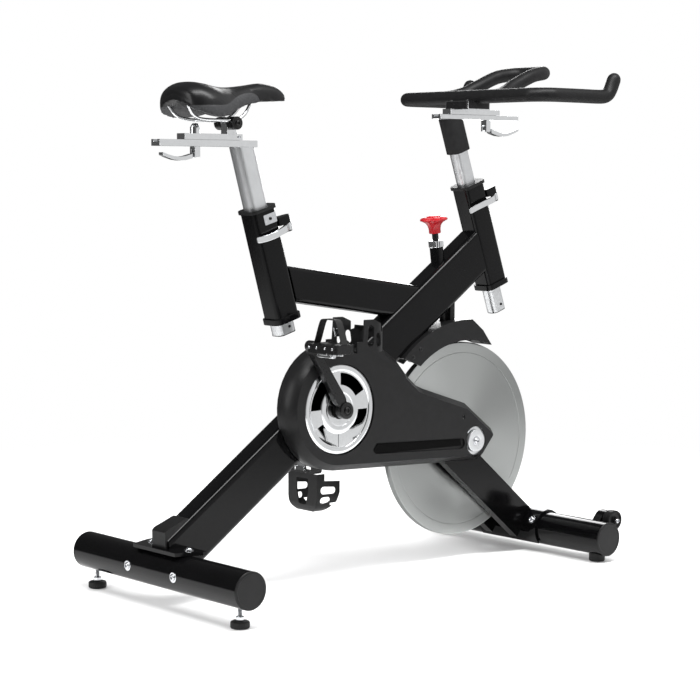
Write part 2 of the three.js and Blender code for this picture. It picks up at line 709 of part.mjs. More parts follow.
// ------------------------------------------------------------------ fender
const atWheel = (radius, from, to, steps) =>
  arc(WHEEL.x, WHEEL.z, radius, from, to, steps);

// The fender is a crescent channel over the wheel, open underneath, with a pad that screws to
// the beam's side and a strut up to the beam's bottom.
function makeFender() {
  const { inner, outer, right, left, wall } = FENDER;
  const crescent = polygon([
    ...atWheel(inner, 69, 129, 14),
    ...atWheel(outer, 134.5, 86, 12),
    [342, 546],
  ]);
  const room = polygon([
    ...atWheel(inner - 40, 60, 140, 10),
    ...atWheel(outer - wall, 140, 87, 12),
    [WHEEL.x + 50, WHEEL.z + 254],
    [WHEEL.x + 100, WHEEL.z + 190],
  ]);
  const pad = slabY(link([139, 511], 12, [115, 494], 12), right + 1, -BEAM.width / 2 - GAP);
  const strut = box(258, 272, -16, 12, 565, 620);
  return cut(
    join(cut(slabY(crescent, right, left), slabY(room, right + wall, left - wall)), pad, strut),
    beamRun(-200, 600, GAP),
    seenFrom(bike, rodZ(BRAKE.rod + 3, 200, 330, 0, BRAKE.y), brakeAxis),
    legBody(1, 1),
    legBody(-1, 1),
  );
}
piece("fender", makeFender(), "satin_black");

// ------------------------------------------------------------------ brake
// All drawn along the brake rod: its Z axis points away from the flywheel's centre.
const onRod = (radius, z0, z1, sides = 20) => rodZ(radius, z0, z1, 0, BRAKE.y, sides);
const rodBore = (z0, z1) => onRod(BRAKE.rod + GAP, z0, z1);

function makeGuideNut() {
  const shank = onRod(BRAKE.rod + 3.2, 420, BRAKE.boss + 1);
  return cut(join(onRod(17.5, BRAKE.boss + GAP, BRAKE.boss + 16, 24), shank), rodBore(400, 500));
}

function makeKnob() {
  const profile = [
    [0, BRAKE.knob],
    [14, BRAKE.knob],
    [14, BRAKE.knob + 12],
    [18, BRAKE.knob + 21],
    [30, BRAKE.knob + 28],
    [30, BRAKE.top - 7],
    [20, BRAKE.top - 1],
    [0, BRAKE.top],
  ];
  const lobes = Array.from({ length: 6 }, (_, i) => {
    const angle = degrees(60 * i);
    const height = [BRAKE.knob + 28, BRAKE.top - 7];
    return rodZ(9, ...height, 24.5 * Math.cos(angle), BRAKE.y + 24.5 * Math.sin(angle), 12);
  });
  const disc = turnedZ(profile, 32).translate(0, BRAKE.y, 0);
  return cut(join(disc, ...lobes), rodBore(400, BRAKE.top - 12));
}

function makeBrakeArm() {
  const below = BRAKE.pad + 10;
  const block = box(-27, 27, BRAKE.padY - 8, BRAKE.padY + 14, BRAKE.pad - 8, BRAKE.pad + 20);
  const socket = onRod(12, BRAKE.pad + 15, BRAKE.pad + 32);
  const rim = rodY(BRAKE.pad, -50, 50, 0, 0, 120);
  return cut(join(block, socket), rim, rodBore(below, 320));
}

piece("brake_guide_nut", makeGuideNut(), "chrome", brakeAxis);
piece("brake_rod", onRod(BRAKE.rod, BRAKE.pad + 14, BRAKE.top - 13), "satin_steel", brakeAxis);
piece("brake_knob", makeKnob(), "red", brakeAxis);
piece("brake_arm", makeBrakeArm(), "satin_black", brakeAxis);

// ------------------------------------------------------------------ posts
function makePost({ post: [depth, width, corner] }, rail, group) {
  const tube = cut(
    slabZ(roundedBox(depth, width, corner), 0, 520),
    slabZ(roundedBox(depth - 5, width - 5, corner - 2.5), -1, 521),
  );
  return cut(tube, seenFrom(group, box(-DEEP * 2, DEEP * 2, -60, 60, rail.bottom - GAP, 1400)));
}
piece("seat_post", makePost(SEAT, SEAT_RAIL, seatAxis), "satin_steel", seatAxis);
piece("handlebar_post", makePost(BARS, BARS_RAIL, barsAxis), "satin_steel", barsAxis);

function makeSleeve() {
  const [depth, width, corner] = BARS.post;
  return cut(
    slabZ(roundedBox(depth + 12, width + 12, corner + 5), 402, 520),
    slabZ(roundedBox(depth + 2 * GAP, width + 2 * GAP, corner + GAP), 400, 522),
    seenFrom(barsAxis, box(-DEEP, DEEP * 2, -60, 60, BARS_RAIL.bottom - GAP, 1400)),
  );
}
piece("post_sleeve", makeSleeve(), "foam", barsAxis);

// The clamp levers lie along the right side of their tubes and swing out round the lug's pin.
function makeClampLever({ lever, high }) {
  const low = lever - CLAMP.lever / 2;
  const elbow = [34, -38];
  const bar = join(
    slabZ(link([CLAMP.x, CLAMP.y], 9, elbow, 6), low, low + CLAMP.lever),
    slabZ(link(elbow, 6, [CLAMP.tip, -41], 6), low, low + CLAMP.lever),
  );
  return cut(bar, rodZ(CLAMP.pin + GAP, low - 1, high, CLAMP.x, CLAMP.y, 16));
}
piece("seat_clamp_lever", makeClampLever(SEAT), "chrome", seatAxis);
piece("head_clamp_lever", makeClampLever(BARS), "chrome", barsAxis);

// ------------------------------------------------------------------ rails and carriages
// A rail has a groove along its top, and a slot under it for the carriage's clamp bolt.
const GROOVE = { half: 7, deep: 6 };
function makeRail({ rear, front, bottom, top, bolt, slot }) {
  const [back, ahead] = slot;
  return cut(
    box(rear, front, -RAIL_HALF, RAIL_HALF, bottom, top),
    box(rear - 1, front + 1, -GROOVE.half, GROOVE.half, top - GROOVE.deep, top + 1),
    slabZ(link([bolt + back, 0], 5, [bolt + ahead, 0], 5), bottom - 1, top),
  );
}

// A carriage rides on its rail with a key in the groove. Its clamp bolt goes down through the
// rail's slot to a yoke, whose cross pin carries the cam lever.
const YOKE = { half: 9, slot: 4.5, reach: 7, pin: 3 };
function carriageParts({ top, bottom, bolt }, { pivot }, rear, front) {
  const { half, slot, reach, pin } = YOKE;
  const block = box(bolt - reach, bolt + reach, -half, half, pivot - 6, bottom - GAP);
  const gap = box(bolt - 20, bolt + 20, -slot, slot, pivot - 20, pivot + 9);
  return [
    box(rear, front, 1 - RAIL_HALF, RAIL_HALF - 1, top + GAP, top + 13),
    box(rear + 4, front - 4, 0.5 - GROOVE.half, GROOVE.half - 0.5, top - 4, top + 1),
    rodZ(4, bottom - 1, top, bolt, 0, 16),
    cut(block, gap),
    rodY(pin, -half, half, bolt, pivot, 16),
  ];
}

function makeSeatCarriage() {
  const top = SEAT_RAIL.top + 13;
  const nut = turnedZ(
    [[0, top - 1], [10.5, top - 1], [10.5, top + 13], [6, top + 21], [0, top + 22]],
    20,
  ).translate(SEAT_RAIL.bolt, 0, 0);
  const stub = box(TILT.x - 11, TILT.x + 13, -11, 11, top - 1, TILT.z);
  const flange = rodZ(13.5, top - 1, top + 4, TILT.x + 8, 0);
  const eye = rodY(13, -11, 11, TILT.x, TILT.z, 24);
  return cut(
    join(...carriageParts(SEAT_RAIL, SEAT_LEVER, -515, -362), nut, stub, flange, eye),
    rodY(6 + GAP, -DEEP, DEEP, TILT.x, TILT.z, 20),
  );
}

const barSeat = rodY(GRIP + GAP, -DEEP, DEEP, BAR.x, BAR.z, 32);
function makeBarsCarriage() {
  const top = BARS_RAIL.top + 13;
  const nut = rodZ(9, top - 1, top + 4, BARS_RAIL.bolt, 0, 6);
  const pillar = box(BAR.x - 36, BAR.x + 36, -38, 38, top - 1, BAR.z - 10);
  return cut(join(...carriageParts(BARS_RAIL, BARS_LEVER, 256, 419), nut, pillar), barSeat);
}

// A cam lever: an eye on the yoke's cross pin, and a bow that runs out from it under the rail.
function makeSliderLever({ bolt }, { pivot, reach, sag }) {
  const STEPS = 6;
  const edge = (offset) =>
    Array.from({ length: STEPS + 1 }, (_, i) => {
      const t = i / STEPS;
      return [bolt + reach * t, pivot - sag * Math.sin(Math.PI * t) + offset * (1 - 0.4 * t)];
    });
  const bow = polygon([...edge(-5), ...edge(5).reverse()]);
  const inYoke = YOKE.slot - GAP;
  const beyond = bolt + Math.sign(reach) * (DEEP + YOKE.half + 3);
  const outside = box(beyond - DEEP, beyond + DEEP, -60, 60, 0, 2000);
  return cut(
    join(
      rodY(7, -inYoke, inYoke, bolt, pivot),
      slabY(bow, -inYoke, inYoke),
      common(slabY(bow, -YOKE.half + 1, YOKE.half - 1), outside),
    ),
    rodY(YOKE.pin + GAP, -60, 60, bolt, pivot, 16),
  );
}

piece("seat_rail", makeRail(SEAT_RAIL), "chrome");
piece("handlebar_rail", makeRail(BARS_RAIL), "chrome");
piece("seat_carriage", makeSeatCarriage(), "chrome");
piece("handlebar_carriage", makeBarsCarriage(), "chrome");
piece("seat_slider_lever", makeSliderLever(SEAT_RAIL, SEAT_LEVER), "chrome");
piece("handlebar_slider_lever", makeSliderLever(BARS_RAIL, BARS_LEVER), "chrome");

// ------------------------------------------------------------------ saddle
// Sections across the saddle from tail to nose: position, half width, crown height and the
// height of the skirt's lower edge.
const SADDLE = [
  { x: -535, half: 40, crown: 1084, skirt: 1060 },
  { x: -526, half: 62, crown: 1096, skirt: 1046 },
  { x: -505, half: 78, crown: 1104, skirt: 1034 },
  { x: -475, half: 80, crown: 1101, skirt: 1028 },
  { x: -440, half: 70, crown: 1095, skirt: 1030 },
  { x: -400, half: 48, crown: 1095, skirt: 1046 },
  { x: -354, half: 34, crown: 1099, skirt: 1062 },
  { x: -310, half: 27, crown: 1106, skirt: 1067 },
  { x: -270, half: 23, crown: 1105, skirt: 1069 },
  { x: -248, half: 17, crown: 1097, skirt: 1071 },
  { x: -239, half: 9, crown: 1086, skirt: 1075 },
];

// A skin through the sections, closed at both ends.
function loft(rings) {
  const count = rings[0].length;
  const index = [];
  for (let i = 0; i + 1 < rings.length; i += 1) {
    for (let j = 0; j < count; j += 1) {
      const a = i * count + j;
      const b = i * count + ((j + 1) % count);
      index.push(a, b, a + count, b, b + count, a + count);
    }
  }
  const last = (rings.length - 1) * count;
  const ends = THREE.ShapeUtils.triangulateShape(
    rings[0].map(([, y, z]) => new THREE.Vector2(y, z)),
    [],
  );
  ends.forEach(([a, b, c]) => {
    index.push(a, c, b);
    index.push(last + a, last + b, last + c);
  });
  const geometry = new THREE.BufferGeometry();
  geometry.setAttribute("position", new THREE.Float32BufferAttribute(rings.flat(2), 3));
  geometry.setIndex(index);
  return geometry;
}

function saddleRing({ x, half, crown, skirt }) {
  const height = crown - skirt;
  const over = (angle) => [
    x,
    half * Math.cos(angle),
    skirt + height * Math.max(Math.sin(angle), 0) ** 0.6,
  ];
  const under = (angle) => [
    x,
    0.86 * half * Math.cos(angle),
    skirt + 0.3 * height * Math.max(Math.sin(angle), 0) ** 0.7,
  ];
  const TOP = 14;
  const BOTTOM = 8;
  return [
    ...Array.from({ length: TOP + 1 }, (_, i) => over((Math.PI * i) / TOP)),
    ...Array.from({ length: BOTTOM + 1 }, (_, i) => under(Math.PI * (1 - i / BOTTOM))),
  ];
}

const RAIL_WIRE = 3.5;
const railPath = (side) => [
  [-522, side * 34, 1056],
  [-505, side * 30, 1036],
  [-479, side * 24, 1028],
  [-430, side * 22, 1026.5],
  [-390, side * 22, 1027],
  [-362, side * 20, 1040],
  [-342, side * 14, 1064],
];
const wire = (radius) =>
  tubeAlong([...railPath(1), [-330, 0, 1076], ...railPath(-1).reverse()], radius, 48, 8);

const saddleSolid = loft(SADDLE.map(saddleRing));
piece("saddle", cut(saddleSolid, wire(RAIL_WIRE + GAP)), "rubber");
piece("saddle_rails", wire(RAIL_WIRE), "chrome");

// The saddle clamp: a cross pin through the carriage's eye, with a jaw on each end that grips
// one of the saddle's wires.
function makeSaddleClamp() {
  const jaws = SIDES.map(({ sign }) =>
    sideSlab(circle(14, 24, TILT.x, TILT.z), sign, 11 + GAP, 32),
  );
  return cut(join(rodY(6, -32, 32, TILT.x, TILT.z), ...jaws), wire(RAIL_WIRE + GAP));
}
piece("saddle_clamp", makeSaddleClamp(), "satin_steel");

// ------------------------------------------------------------------ handlebar
function makeHandlebar() {
  const { x, z, half, corner, horn } = BAR;
  const bend = (side) => [
    ...arc(x + corner, half - corner, corner, 180, 90, 4).map(([a, b]) => [a, side * b, z]),
    [x + 130, side * half, z],
    [horn - 18, side * half, z],
    [horn + 5, side * half, z + 4],
    [horn + 18, side * half, z + 17],
    [horn + 30, side * half, z + 41],
  ];
  const main = [...bend(1).reverse(), [x, 90, z], [x, -90, z], ...bend(-1)];
  const rise = (side) => [
    [x + 2, side * 88, z],
    [x + 30, side * 78, z + 4],
    [x + 62, side * 68, z + 14],
    [x + 95, side * 62, z + 29],
    [x + 155, side * 60, z + 53],
    [x + 200, side * 52, z + 61],
    [x + 220, side * 28, z + 63],
  ];
  const loop = [...rise(1), ...rise(-1).reverse()];
  const knobs = [1, -1].map((side) =>
    new THREE.SphereGeometry(GRIP, 12, 8).translate(...bend(side).at(-1)),
  );
  return join(tubeAlong(main, GRIP, 72, 12), tubeAlong(loop, GRIP, 32, 12), ...knobs);
}
piece("handlebar", makeHandlebar(), "rubber");

export default bike;
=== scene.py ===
"""Looks of the exercise bike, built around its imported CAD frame.

Lengths are in millimetres until a piece's mesh is made, in the frame of the CAD part:
+X is the front of the bike, +Y the rider's left, +Z up, and the floor is z = 0.
"""

import json
import math

import bmesh
import bpy
from mathutils import Matrix, Vector


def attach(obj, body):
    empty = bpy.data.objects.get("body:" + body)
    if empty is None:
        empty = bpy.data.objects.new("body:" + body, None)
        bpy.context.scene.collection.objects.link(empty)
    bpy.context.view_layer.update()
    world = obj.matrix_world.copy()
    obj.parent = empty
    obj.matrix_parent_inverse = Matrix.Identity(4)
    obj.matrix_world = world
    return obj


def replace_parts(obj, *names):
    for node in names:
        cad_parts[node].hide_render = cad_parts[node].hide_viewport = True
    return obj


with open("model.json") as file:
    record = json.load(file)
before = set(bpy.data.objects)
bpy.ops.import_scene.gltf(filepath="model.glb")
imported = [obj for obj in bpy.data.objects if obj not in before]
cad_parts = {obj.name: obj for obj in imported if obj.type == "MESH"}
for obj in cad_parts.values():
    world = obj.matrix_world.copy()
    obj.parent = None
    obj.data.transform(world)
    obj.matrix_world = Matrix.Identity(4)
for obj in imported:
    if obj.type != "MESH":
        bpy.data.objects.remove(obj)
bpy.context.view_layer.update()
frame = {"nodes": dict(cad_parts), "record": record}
NODES = frame["nodes"]
RECORD = frame["record"]
BODY_OF = {
    node: body for body, members in RECORD["behaviour"]["bodies"].items() for node in members
}
SLOT_OF = {part["node"]: part["material_slot"] for part in RECORD["subparts"]}

METRES = Matrix.Scale(0.001, 4)
HERE = Matrix.Identity(4)
UP = Vector((0, 0, 1))
SIDES = (("right", -1), ("left", 1))  # the name of each side and its sign along Y

# ------------------------------------------------------------------ dimensions of the CAD part
REAR_BAR = (-560, 80.8)  # centres in X and Z
FRONT_BAR = (517, 55.4)
BAR_HALF = 289
FOOT_Y = 256
TRANSPORT = (576, 90)
TRANSPORT_INNER = 238  # the wheel's inner face, in Y
WHEEL = (287, 288.6)
WHEEL_RADIUS = 230
CRANK = (-139, 395)
CRANK_LENGTH = 175
CRANK_LEAN = 33  # the right crank leans back from upright
PEDAL_MIDDLE = 156.5
PEDAL_TILT = {"right": 0, "left": -90}
COVER_FACE = -75.2  # the floor of the drive cover's long slot
SPIDER_FACE = -75
TILT_PIN = (-390, 1021)
GRIP = 16.5
HANDLEBAR = (325, 1097)
CLAMP_PIN = (60, -20)  # from a tube's centre line to the pin of its lever


# ------------------------------------------------------------------ camera
def make_camera():
    data = bpy.data.cameras.new("camera")
    camera = bpy.data.objects.new("camera", data)
    bpy.context.scene.collection.objects.link(camera)
    data.sensor_width = 36
    data.lens = 100.311
    data.clip_start = 0.1
    data.clip_end = 60
    turn, down, roll = math.radians(-41.23), math.radians(5.08), math.radians(0.2)
    back = Vector((math.sin(turn) * math.cos(down), -math.cos(turn) * math.cos(down), math.sin(down)))
    right = (-back).cross(UP).normalized()
    up = right.cross(-back)
    tilted_right = math.cos(roll) * right + math.sin(roll) * up
    tilted_up = math.cos(roll) * up - math.sin(roll) * right
    turned_to = Matrix((tilted_right, tilted_up, back)).transposed()
    camera.matrix_world = Matrix.Translation((-2.9485, -3.3155, 0.9088)) @ turned_to.to_4x4()
    bpy.context.scene.camera = camera


make_camera()


# ------------------------------------------------------------------ materials
class Nodes:
    """A material's node tree, with short calls to add and join nodes."""

    def __init__(self, name):
        self.material = bpy.data.materials.new(name)
        self.material.use_nodes = True
        self.tree = self.material.node_tree
        self.shader = self.tree.nodes["Principled BSDF"]
        self.place = self.add("ShaderNodeTexCoord").outputs["Object"]

    def add(self, kind, **inputs):
        node = self.tree.nodes.new(kind)
        for key, value in inputs.items():
            name = key.replace("_", " ").title()
            if isinstance(value, bpy.types.NodeSocket):
                self.tree.links.new(value, node.inputs[name])
            else:
                node.inputs[name].default_value = value
        return node

    def join(self, output, target):
        self.tree.links.new(output, target)

    def noise(self, scale, detail=4, roughness=0.55, place=None):
        node = self.add("ShaderNodeTexNoise", scale=scale, detail=detail, roughness=roughness)
        self.join(place or self.place, node.inputs["Vector"])
        return node.outputs["Fac"]

    def stretched(self, x, y, z):
        node = self.add("ShaderNodeMapping")
        node.inputs["Scale"].default_value = (x, y, z)
        self.join(self.place, node.inputs["Vector"])
        return node.outputs["Vector"]

    def math(self, operation, a, b=0.0):
        node = self.tree.nodes.new("ShaderNodeMath")
        node.operation = operation
        for socket, value in zip(node.inputs, (a, b)):
            if isinstance(value, bpy.types.NodeSocket):
                self.join(value, socket)
            else:
                socket.default_value = value
        return node.outputs[0]

    def ramp(self, value, stops, curve="LINEAR"):
        node = self.tree.nodes.new("ShaderNodeValToRGB")
        node.color_ramp.interpolation = curve
        self.join(value, node.inputs["Fac"])
        ends = node.color_ramp.elements
        while len(ends) < len(stops):
            ends.new(0.5)
        for element, (position, color) in zip(ends, stops):
            element.position = position
            element.color = (*color, 1)
        return node.outputs["Color"]

    def spread(self, value, low, high):
        node = self.tree.nodes.new("ShaderNodeMapRange")
        node.inputs["To Min"].default_value = low
        node.inputs["To Max"].default_value = high
        self.join(value, node.inputs["Value"])
        return node.outputs["Result"]

    def bump(self, height, strength, distance, under=None):
        node = self.add("ShaderNodeBump", strength=strength, distance=distance)
        self.join(height, node.inputs["Height"])
        if under:
            self.join(under, node.inputs["Normal"])
        return node.outputs["Normal"]


def shade(color, factor):
    return tuple(min(1.0, c * factor) for c in color)


def plain(name, color, rough, metal=0.0, specular=0.5, coat=0.0, vary=0.12, mottle=60,
          grain=(900, 0.12, 0.0002), wave=None):
    """A surface whose colour and gloss drift a little, with a fine grain and, if given, a soft wave."""
    n = Nodes(name)
    drift = n.noise(mottle, 5)
    n.join(n.ramp(drift, [(0.3, shade(color, 1 - vary)), (0.7, shade(color, 1 + vary))]),
           n.shader.inputs["Base Color"])
    n.join(n.spread(n.noise(mottle * 2.3, 6, 0.65), rough * 0.82, rough * 1.2),
           n.shader.inputs["Roughness"])
    n.shader.inputs["Metallic"].default_value = metal
    n.shader.inputs["Specular IOR Level"].default_value = specular
    n.shader.inputs["Coat Weight"].default_value = coat
    n.shader.inputs["Coat Roughness"].default_value = 0.06
    scale, strength, distance = grain
    normal = n.bump(n.noise(scale, 3), strength, distance)
    if wave:
        normal = n.bump(n.noise(wave[0], 2), wave[1], wave[2], normal)
    n.join(normal, n.shader.inputs["Normal"])
    return n


def brushed(name, color, rough, along):
    """Metal brushed in one direction: streaks long one way and fine the other."""
    n = plain(name, color, rough, metal=1.0, vary=0.05, mottle=25, grain=(700, 0.04, 0.0001))
    streaks = n.noise(1, 6, 0.7, n.stretched(*along))
    n.join(n.spread(streaks, rough * 0.75, rough * 1.3), n.shader.inputs["Roughness"])
    n.join(n.bump(streaks, 0.12, 0.0002), n.shader.inputs["Normal"])
    return n


def turned_metal(name, color, rough, centre):
    """Metal faced on a lathe about an axis along Y: fine rings about the centre, and a painted
    reflection: bands of lighter and darker colour by angle round the centre.
    """
    n = plain(name, color, rough, metal=1.0, vary=0.04, mottle=9)
    parts = n.tree.nodes.new("ShaderNodeSeparateXYZ")
    n.join(n.place, parts.inputs[0])
    dx = n.math("SUBTRACT", parts.outputs["X"], centre[0])
    dz = n.math("SUBTRACT", parts.outputs["Z"], centre[1])
    radius = n.math("SQRT", n.math("ADD", n.math("MULTIPLY", dx, dx), n.math("MULTIPLY", dz, dz)))
    line = n.tree.nodes.new("ShaderNodeCombineXYZ")
    n.join(radius, line.inputs[0])
    rings = n.noise(1800, 4, 0.7, line.outputs[0])
    n.join(n.bump(rings, 0.35, 0.0002), n.shader.inputs["Normal"])
    n.join(n.spread(rings, rough * 0.8, rough * 1.25), n.shader.inputs["Roughness"])
    n.shader.inputs["Anisotropic"].default_value = 0.75
    tangent = n.tree.nodes.new("ShaderNodeTangent")
    tangent.direction_type = "RADIAL"
    tangent.axis = "Y"
    n.join(tangent.outputs[0], n.shader.inputs["Tangent"])
    # Painted reflection: the base colour turns lighter and darker by angle round the centre, a fan of
    # bright and dark bands like light caught by turned metal.
    angle = n.math("ARCTAN2", dz, dx)
    painted_reflection_fan = n.math("ADD", n.math("COSINE", n.math("MULTIPLY", n.math("ADD", angle, 1.15), 2.0)),
                 n.math("MULTIPLY", n.math("COSINE", n.math("MULTIPLY", angle, 5.0)), 0.35))
    n.join(n.ramp(n.math("ADD", n.math("MULTIPLY", painted_reflection_fan, 0.37), 0.5),
                  [(0.0, shade(color, 0.68)), (0.5, color), (1.0, shade(color, 1.4))], "B_SPLINE"),
           n.shader.inputs["Base Color"])
    return n


def saddle_vinyl(name):
    """Pebbled vinyl, with a greyer panel of woven grip cloth along each flank."""
    n = plain(name, (0.008, 0.008, 0.0085), 0.42, specular=0.22, vary=0.2, mottle=45)
    cells = n.add("ShaderNodeTexVoronoi", scale=620.0)
    n.join(n.place, cells.inputs["Vector"])
    parts = n.tree.nodes.new("ShaderNodeSeparateXYZ")
    n.join(n.place, parts.inputs[0])
    along = n.math("MULTIPLY", n.math("ADD", parts.outputs["X"], 0.55), 4.0)
    edge = n.ramp(along, [(t, ((z - 1.03) / 0.08,) * 3) for t, z in (
        (0.0, 1.050), (0.1, 1.056), (0.3, 1.0555), (0.42, 1.058), (0.54, 1.071), (0.68, 1.084),
        (0.8, 1.088), (0.87, 1.083), (0.92, 1.060), (0.94, 1.035))], "B_SPLINE")
    height = n.math("MULTIPLY", n.math("SUBTRACT", parts.outputs["Z"], 1.03), 12.5)
    panel = n.ramp(n.math("MULTIPLY", n.math("SUBTRACT", edge, height), 30.0),
                   [(0, (0,) * 3), (1, (1,) * 3)])
    shades = n.ramp(n.noise(500, 4), [(0.35, (0.022, 0.022, 0.023)), (0.65, (0.042, 0.043, 0.045))])
    mixed = n.tree.nodes.new("ShaderNodeMix")
    mixed.data_type = "RGBA"
    n.join(panel, mixed.inputs["Factor"])
    mixed.inputs["A"].default_value = (0.0055, 0.0055, 0.0058, 1)
    n.join(shades, mixed.inputs["B"])
    n.join(mixed.outputs["Result"], n.shader.inputs["Base Color"])
    n.join(n.math("ADD", n.math("MULTIPLY", panel, 0.22), n.spread(n.noise(90, 5), 0.26, 0.36)),
           n.shader.inputs["Roughness"])
    normal = n.bump(cells.outputs["Distance"], 0.16, 0.0004)
    n.join(n.bump(panel, 0.5, 0.0012, normal), n.shader.inputs["Normal"])
    return n


def rubbery(name, color, rough, scale=1400, strength=0.35, distance=0.0003, specular=0.3):
    """Moulded or dipped rubber with a soft, even pebble."""
    n = plain(name, color, rough, specular=specular, vary=0.18, mottle=80,
              grain=(scale, strength, distance), wave=(55, 0.1, 0.001))
    return n


LOOKS = {  # by the record's material slots
    "gloss_black": plain("gloss_black", (0.0022, 0.0022, 0.0024), 0.12, specular=0.16, vary=0.12,
                         mottle=14, grain=(260, 0.02, 0.0002)),
    "satin_black": plain("satin_black", (0.0075, 0.0075, 0.0078), 0.36, specular=0.2, vary=0.15,
                         grain=(1500, 0.2, 0.0002)),
    "machine_black": plain("machine_black", (0.006, 0.006, 0.0063), 0.28, specular=0.3,
                           vary=0.15, grain=(900, 0.1, 0.0002)),
    "rubber": rubbery("rubber", (0.008, 0.008, 0.008), 0.6),
    "grip": rubbery("grip", (0.006, 0.006, 0.0063), 0.46, 1100, 0.22, 0.0003, 0.2),
    "foam": rubbery("foam", (0.009, 0.009, 0.0095), 0.7, 750, 0.5, 0.0005, 0.22),
    "saddle_cover": saddle_vinyl("saddle_cover"),
    "red": plain("red", (0.33, 0.004, 0.009), 0.36, specular=0.35, coat=0.08, vary=0.1,
                 grain=(900, 0.06, 0.0001)),
    "chrome": plain("chrome", (0.7, 0.71, 0.72), 0.12, metal=1.0, vary=0.03,
                    grain=(500, 0.03, 0.0001), wave=(30, 0.05, 0.0006)),
    "satin_steel": brushed("satin_steel", (0.62, 0.63, 0.64), 0.36, (900, 900, 12)),
    "zinc": plain("zinc", (0.6, 0.61, 0.63), 0.24, metal=1.0, vary=0.08, mottle=200,
                  grain=(1200, 0.12, 0.0001)),
}
EXTRA = {  # finishes that the record has no slot of their own for
    "wheel_face": turned_metal("wheel_face", (0.34, 0.35, 0.345), 0.3,
                               (WHEEL[0] / 1000, WHEEL[1] / 1000)),
    "grey_plug": plain("grey_plug", (0.16, 0.165, 0.17), 0.45, vary=0.1),
    "slot_painted_shade": plain("slot_painted_shade", (0.001, 0.001, 0.001), 0.5, specular=0.05, vary=0.1),
# near-black and barely glossy: painted shade for the inside of the drive cover's slot
}


# ------------------------------------------------------------------ mesh helpers
SHARP = math.radians(38)


def toward(axis, at):
    """The matrix of a piece drawn along +Z that stands at a point and points along an axis."""
    return Matrix.Translation(at) @ Vector(axis).to_track_quat("Z", "Y").to_matrix().to_4x4()


def leaning(x, z, lean):
    """The matrix of a group at (x, z) whose Z axis leans back by an angle in degrees."""
    return Matrix.Translation((x, 0, z)) @ Matrix.Rotation(-math.radians(lean), 4, "Y")


def finish_mesh(bm):
    bmesh.ops.recalc_face_normals(bm, faces=bm.faces)
    for edge in bm.edges:
        edge.smooth = len(edge.link_faces) != 2 or edge.calc_face_angle(0) < SHARP
    for face in bm.faces:
        face.smooth = True


def piece(name, bm, body, look, place=HERE, rounding=0.0, weighted=True):
    """Turns a mesh drawn in millimetres into a named piece that rides on a CAD body."""
    bm.transform(METRES @ place)
    if rounding:
        round_edges(bm, rounding / 1000)
    finish_mesh(bm)
    mesh = bpy.data.meshes.new(name)
    bm.to_mesh(mesh)
    bm.free()
    obj = bpy.data.objects.new(name, mesh)
    bpy.context.scene.collection.objects.link(obj)
    made = EXTRA[look] if look in EXTRA else LOOKS[look]
    mesh.materials.append(made.material)
    if weighted:
        obj.modifiers.new("flat faces stay flat", "WEIGHTED_NORMAL").keep_sharp = True
    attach(obj, body)
    return obj


def round_edges(bm, width, segments=2):
    sharp = [e for e in bm.edges if len(e.link_faces) == 2 and e.calc_face_angle(0) > SHARP]
    bmesh.ops.bevel(bm, geom=sharp, offset=width, segments=segments, profile=0.55,
                    affect="EDGES", clamp_overlap=True)


def from_node(node):
    """A CAD node's shape as a clean mesh in millimetres, its flat faces whole."""
    bm = bmesh.new()
    bm.from_mesh(NODES[node].data)
    bmesh.ops.remove_doubles(bm, verts=bm.verts, dist=5e-6)
    bmesh.ops.dissolve_limit(bm, angle_limit=math.radians(0.5), verts=bm.verts, edges=bm.edges)
    bm.transform(METRES.inverted())
    return bm


def refined(node, rounding, look=None):
    """A CAD node with its edges rounded, in place of the node."""
    slot = SLOT_OF[node]
    obj = piece(node + "_rounded", from_node(node), BODY_OF[node], look or slot,
                rounding=rounding)
    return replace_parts(obj, node)


def cut_away(bm, tool):
    """The mesh with another one taken out of it."""
    objects = []
    for name, shape in (("whole", bm), ("tool", tool)):
        mesh = bpy.data.meshes.new(name)
        shape.to_mesh(mesh)
        shape.free()
        objects.append(bpy.data.objects.new(name, mesh))
        bpy.context.scene.collection.objects.link(objects[-1])
    cut = objects[0].modifiers.new("cut", "BOOLEAN")
    cut.operation = "DIFFERENCE"
    cut.solver = "EXACT"
    cut.object = objects[1]
    graph = bpy.context.evaluated_depsgraph_get()
    graph.update()
    made = bmesh.new()
    made.from_mesh(objects[0].evaluated_get(graph).to_mesh())
    for obj in objects:
        mesh = obj.data
        bpy.data.objects.remove(obj)
        bpy.data.meshes.remove(mesh)
    return made


def skin(rings):
    """A mesh through rings of points, closed with a face at each end."""
    bm = bmesh.new()
    made = [[bm.verts.new(p) for p in ring] for ring in rings]
    for low, high in zip(made, made[1:]):
        for i in range(len(low)):
            j = (i + 1) % len(low)
            bm.faces.new((low[i], low[j], high[j], high[i]))
    bm.faces.new(made[0][::-1])
    bm.faces.new(made[-1])
    return bm


def hexagon(angle):
    """How far out a hexagon of unit corner radius reaches at an angle."""
    sixth = math.pi / 3
    return math.cos(sixth / 2) / math.cos((angle % sixth) - sixth / 2)


def circular(angle):
    """How far out a circle of unit radius reaches: as far at every angle."""
    return 1.0


def turned(profile, sides=48):
    """A body turned about Z from (radius, height) rows; a third entry gives a ring's shape."""
    rings = []
    for radius, height, *form in profile:
        shape = form[0] if form else circular
        ring = []
        for i in range(sides):
            angle = 2 * math.pi * i / sides
            reach = radius * shape(angle)
            ring.append((reach * math.cos(angle), reach * math.sin(angle), height))
        rings.append(ring)
    return skin(rings)


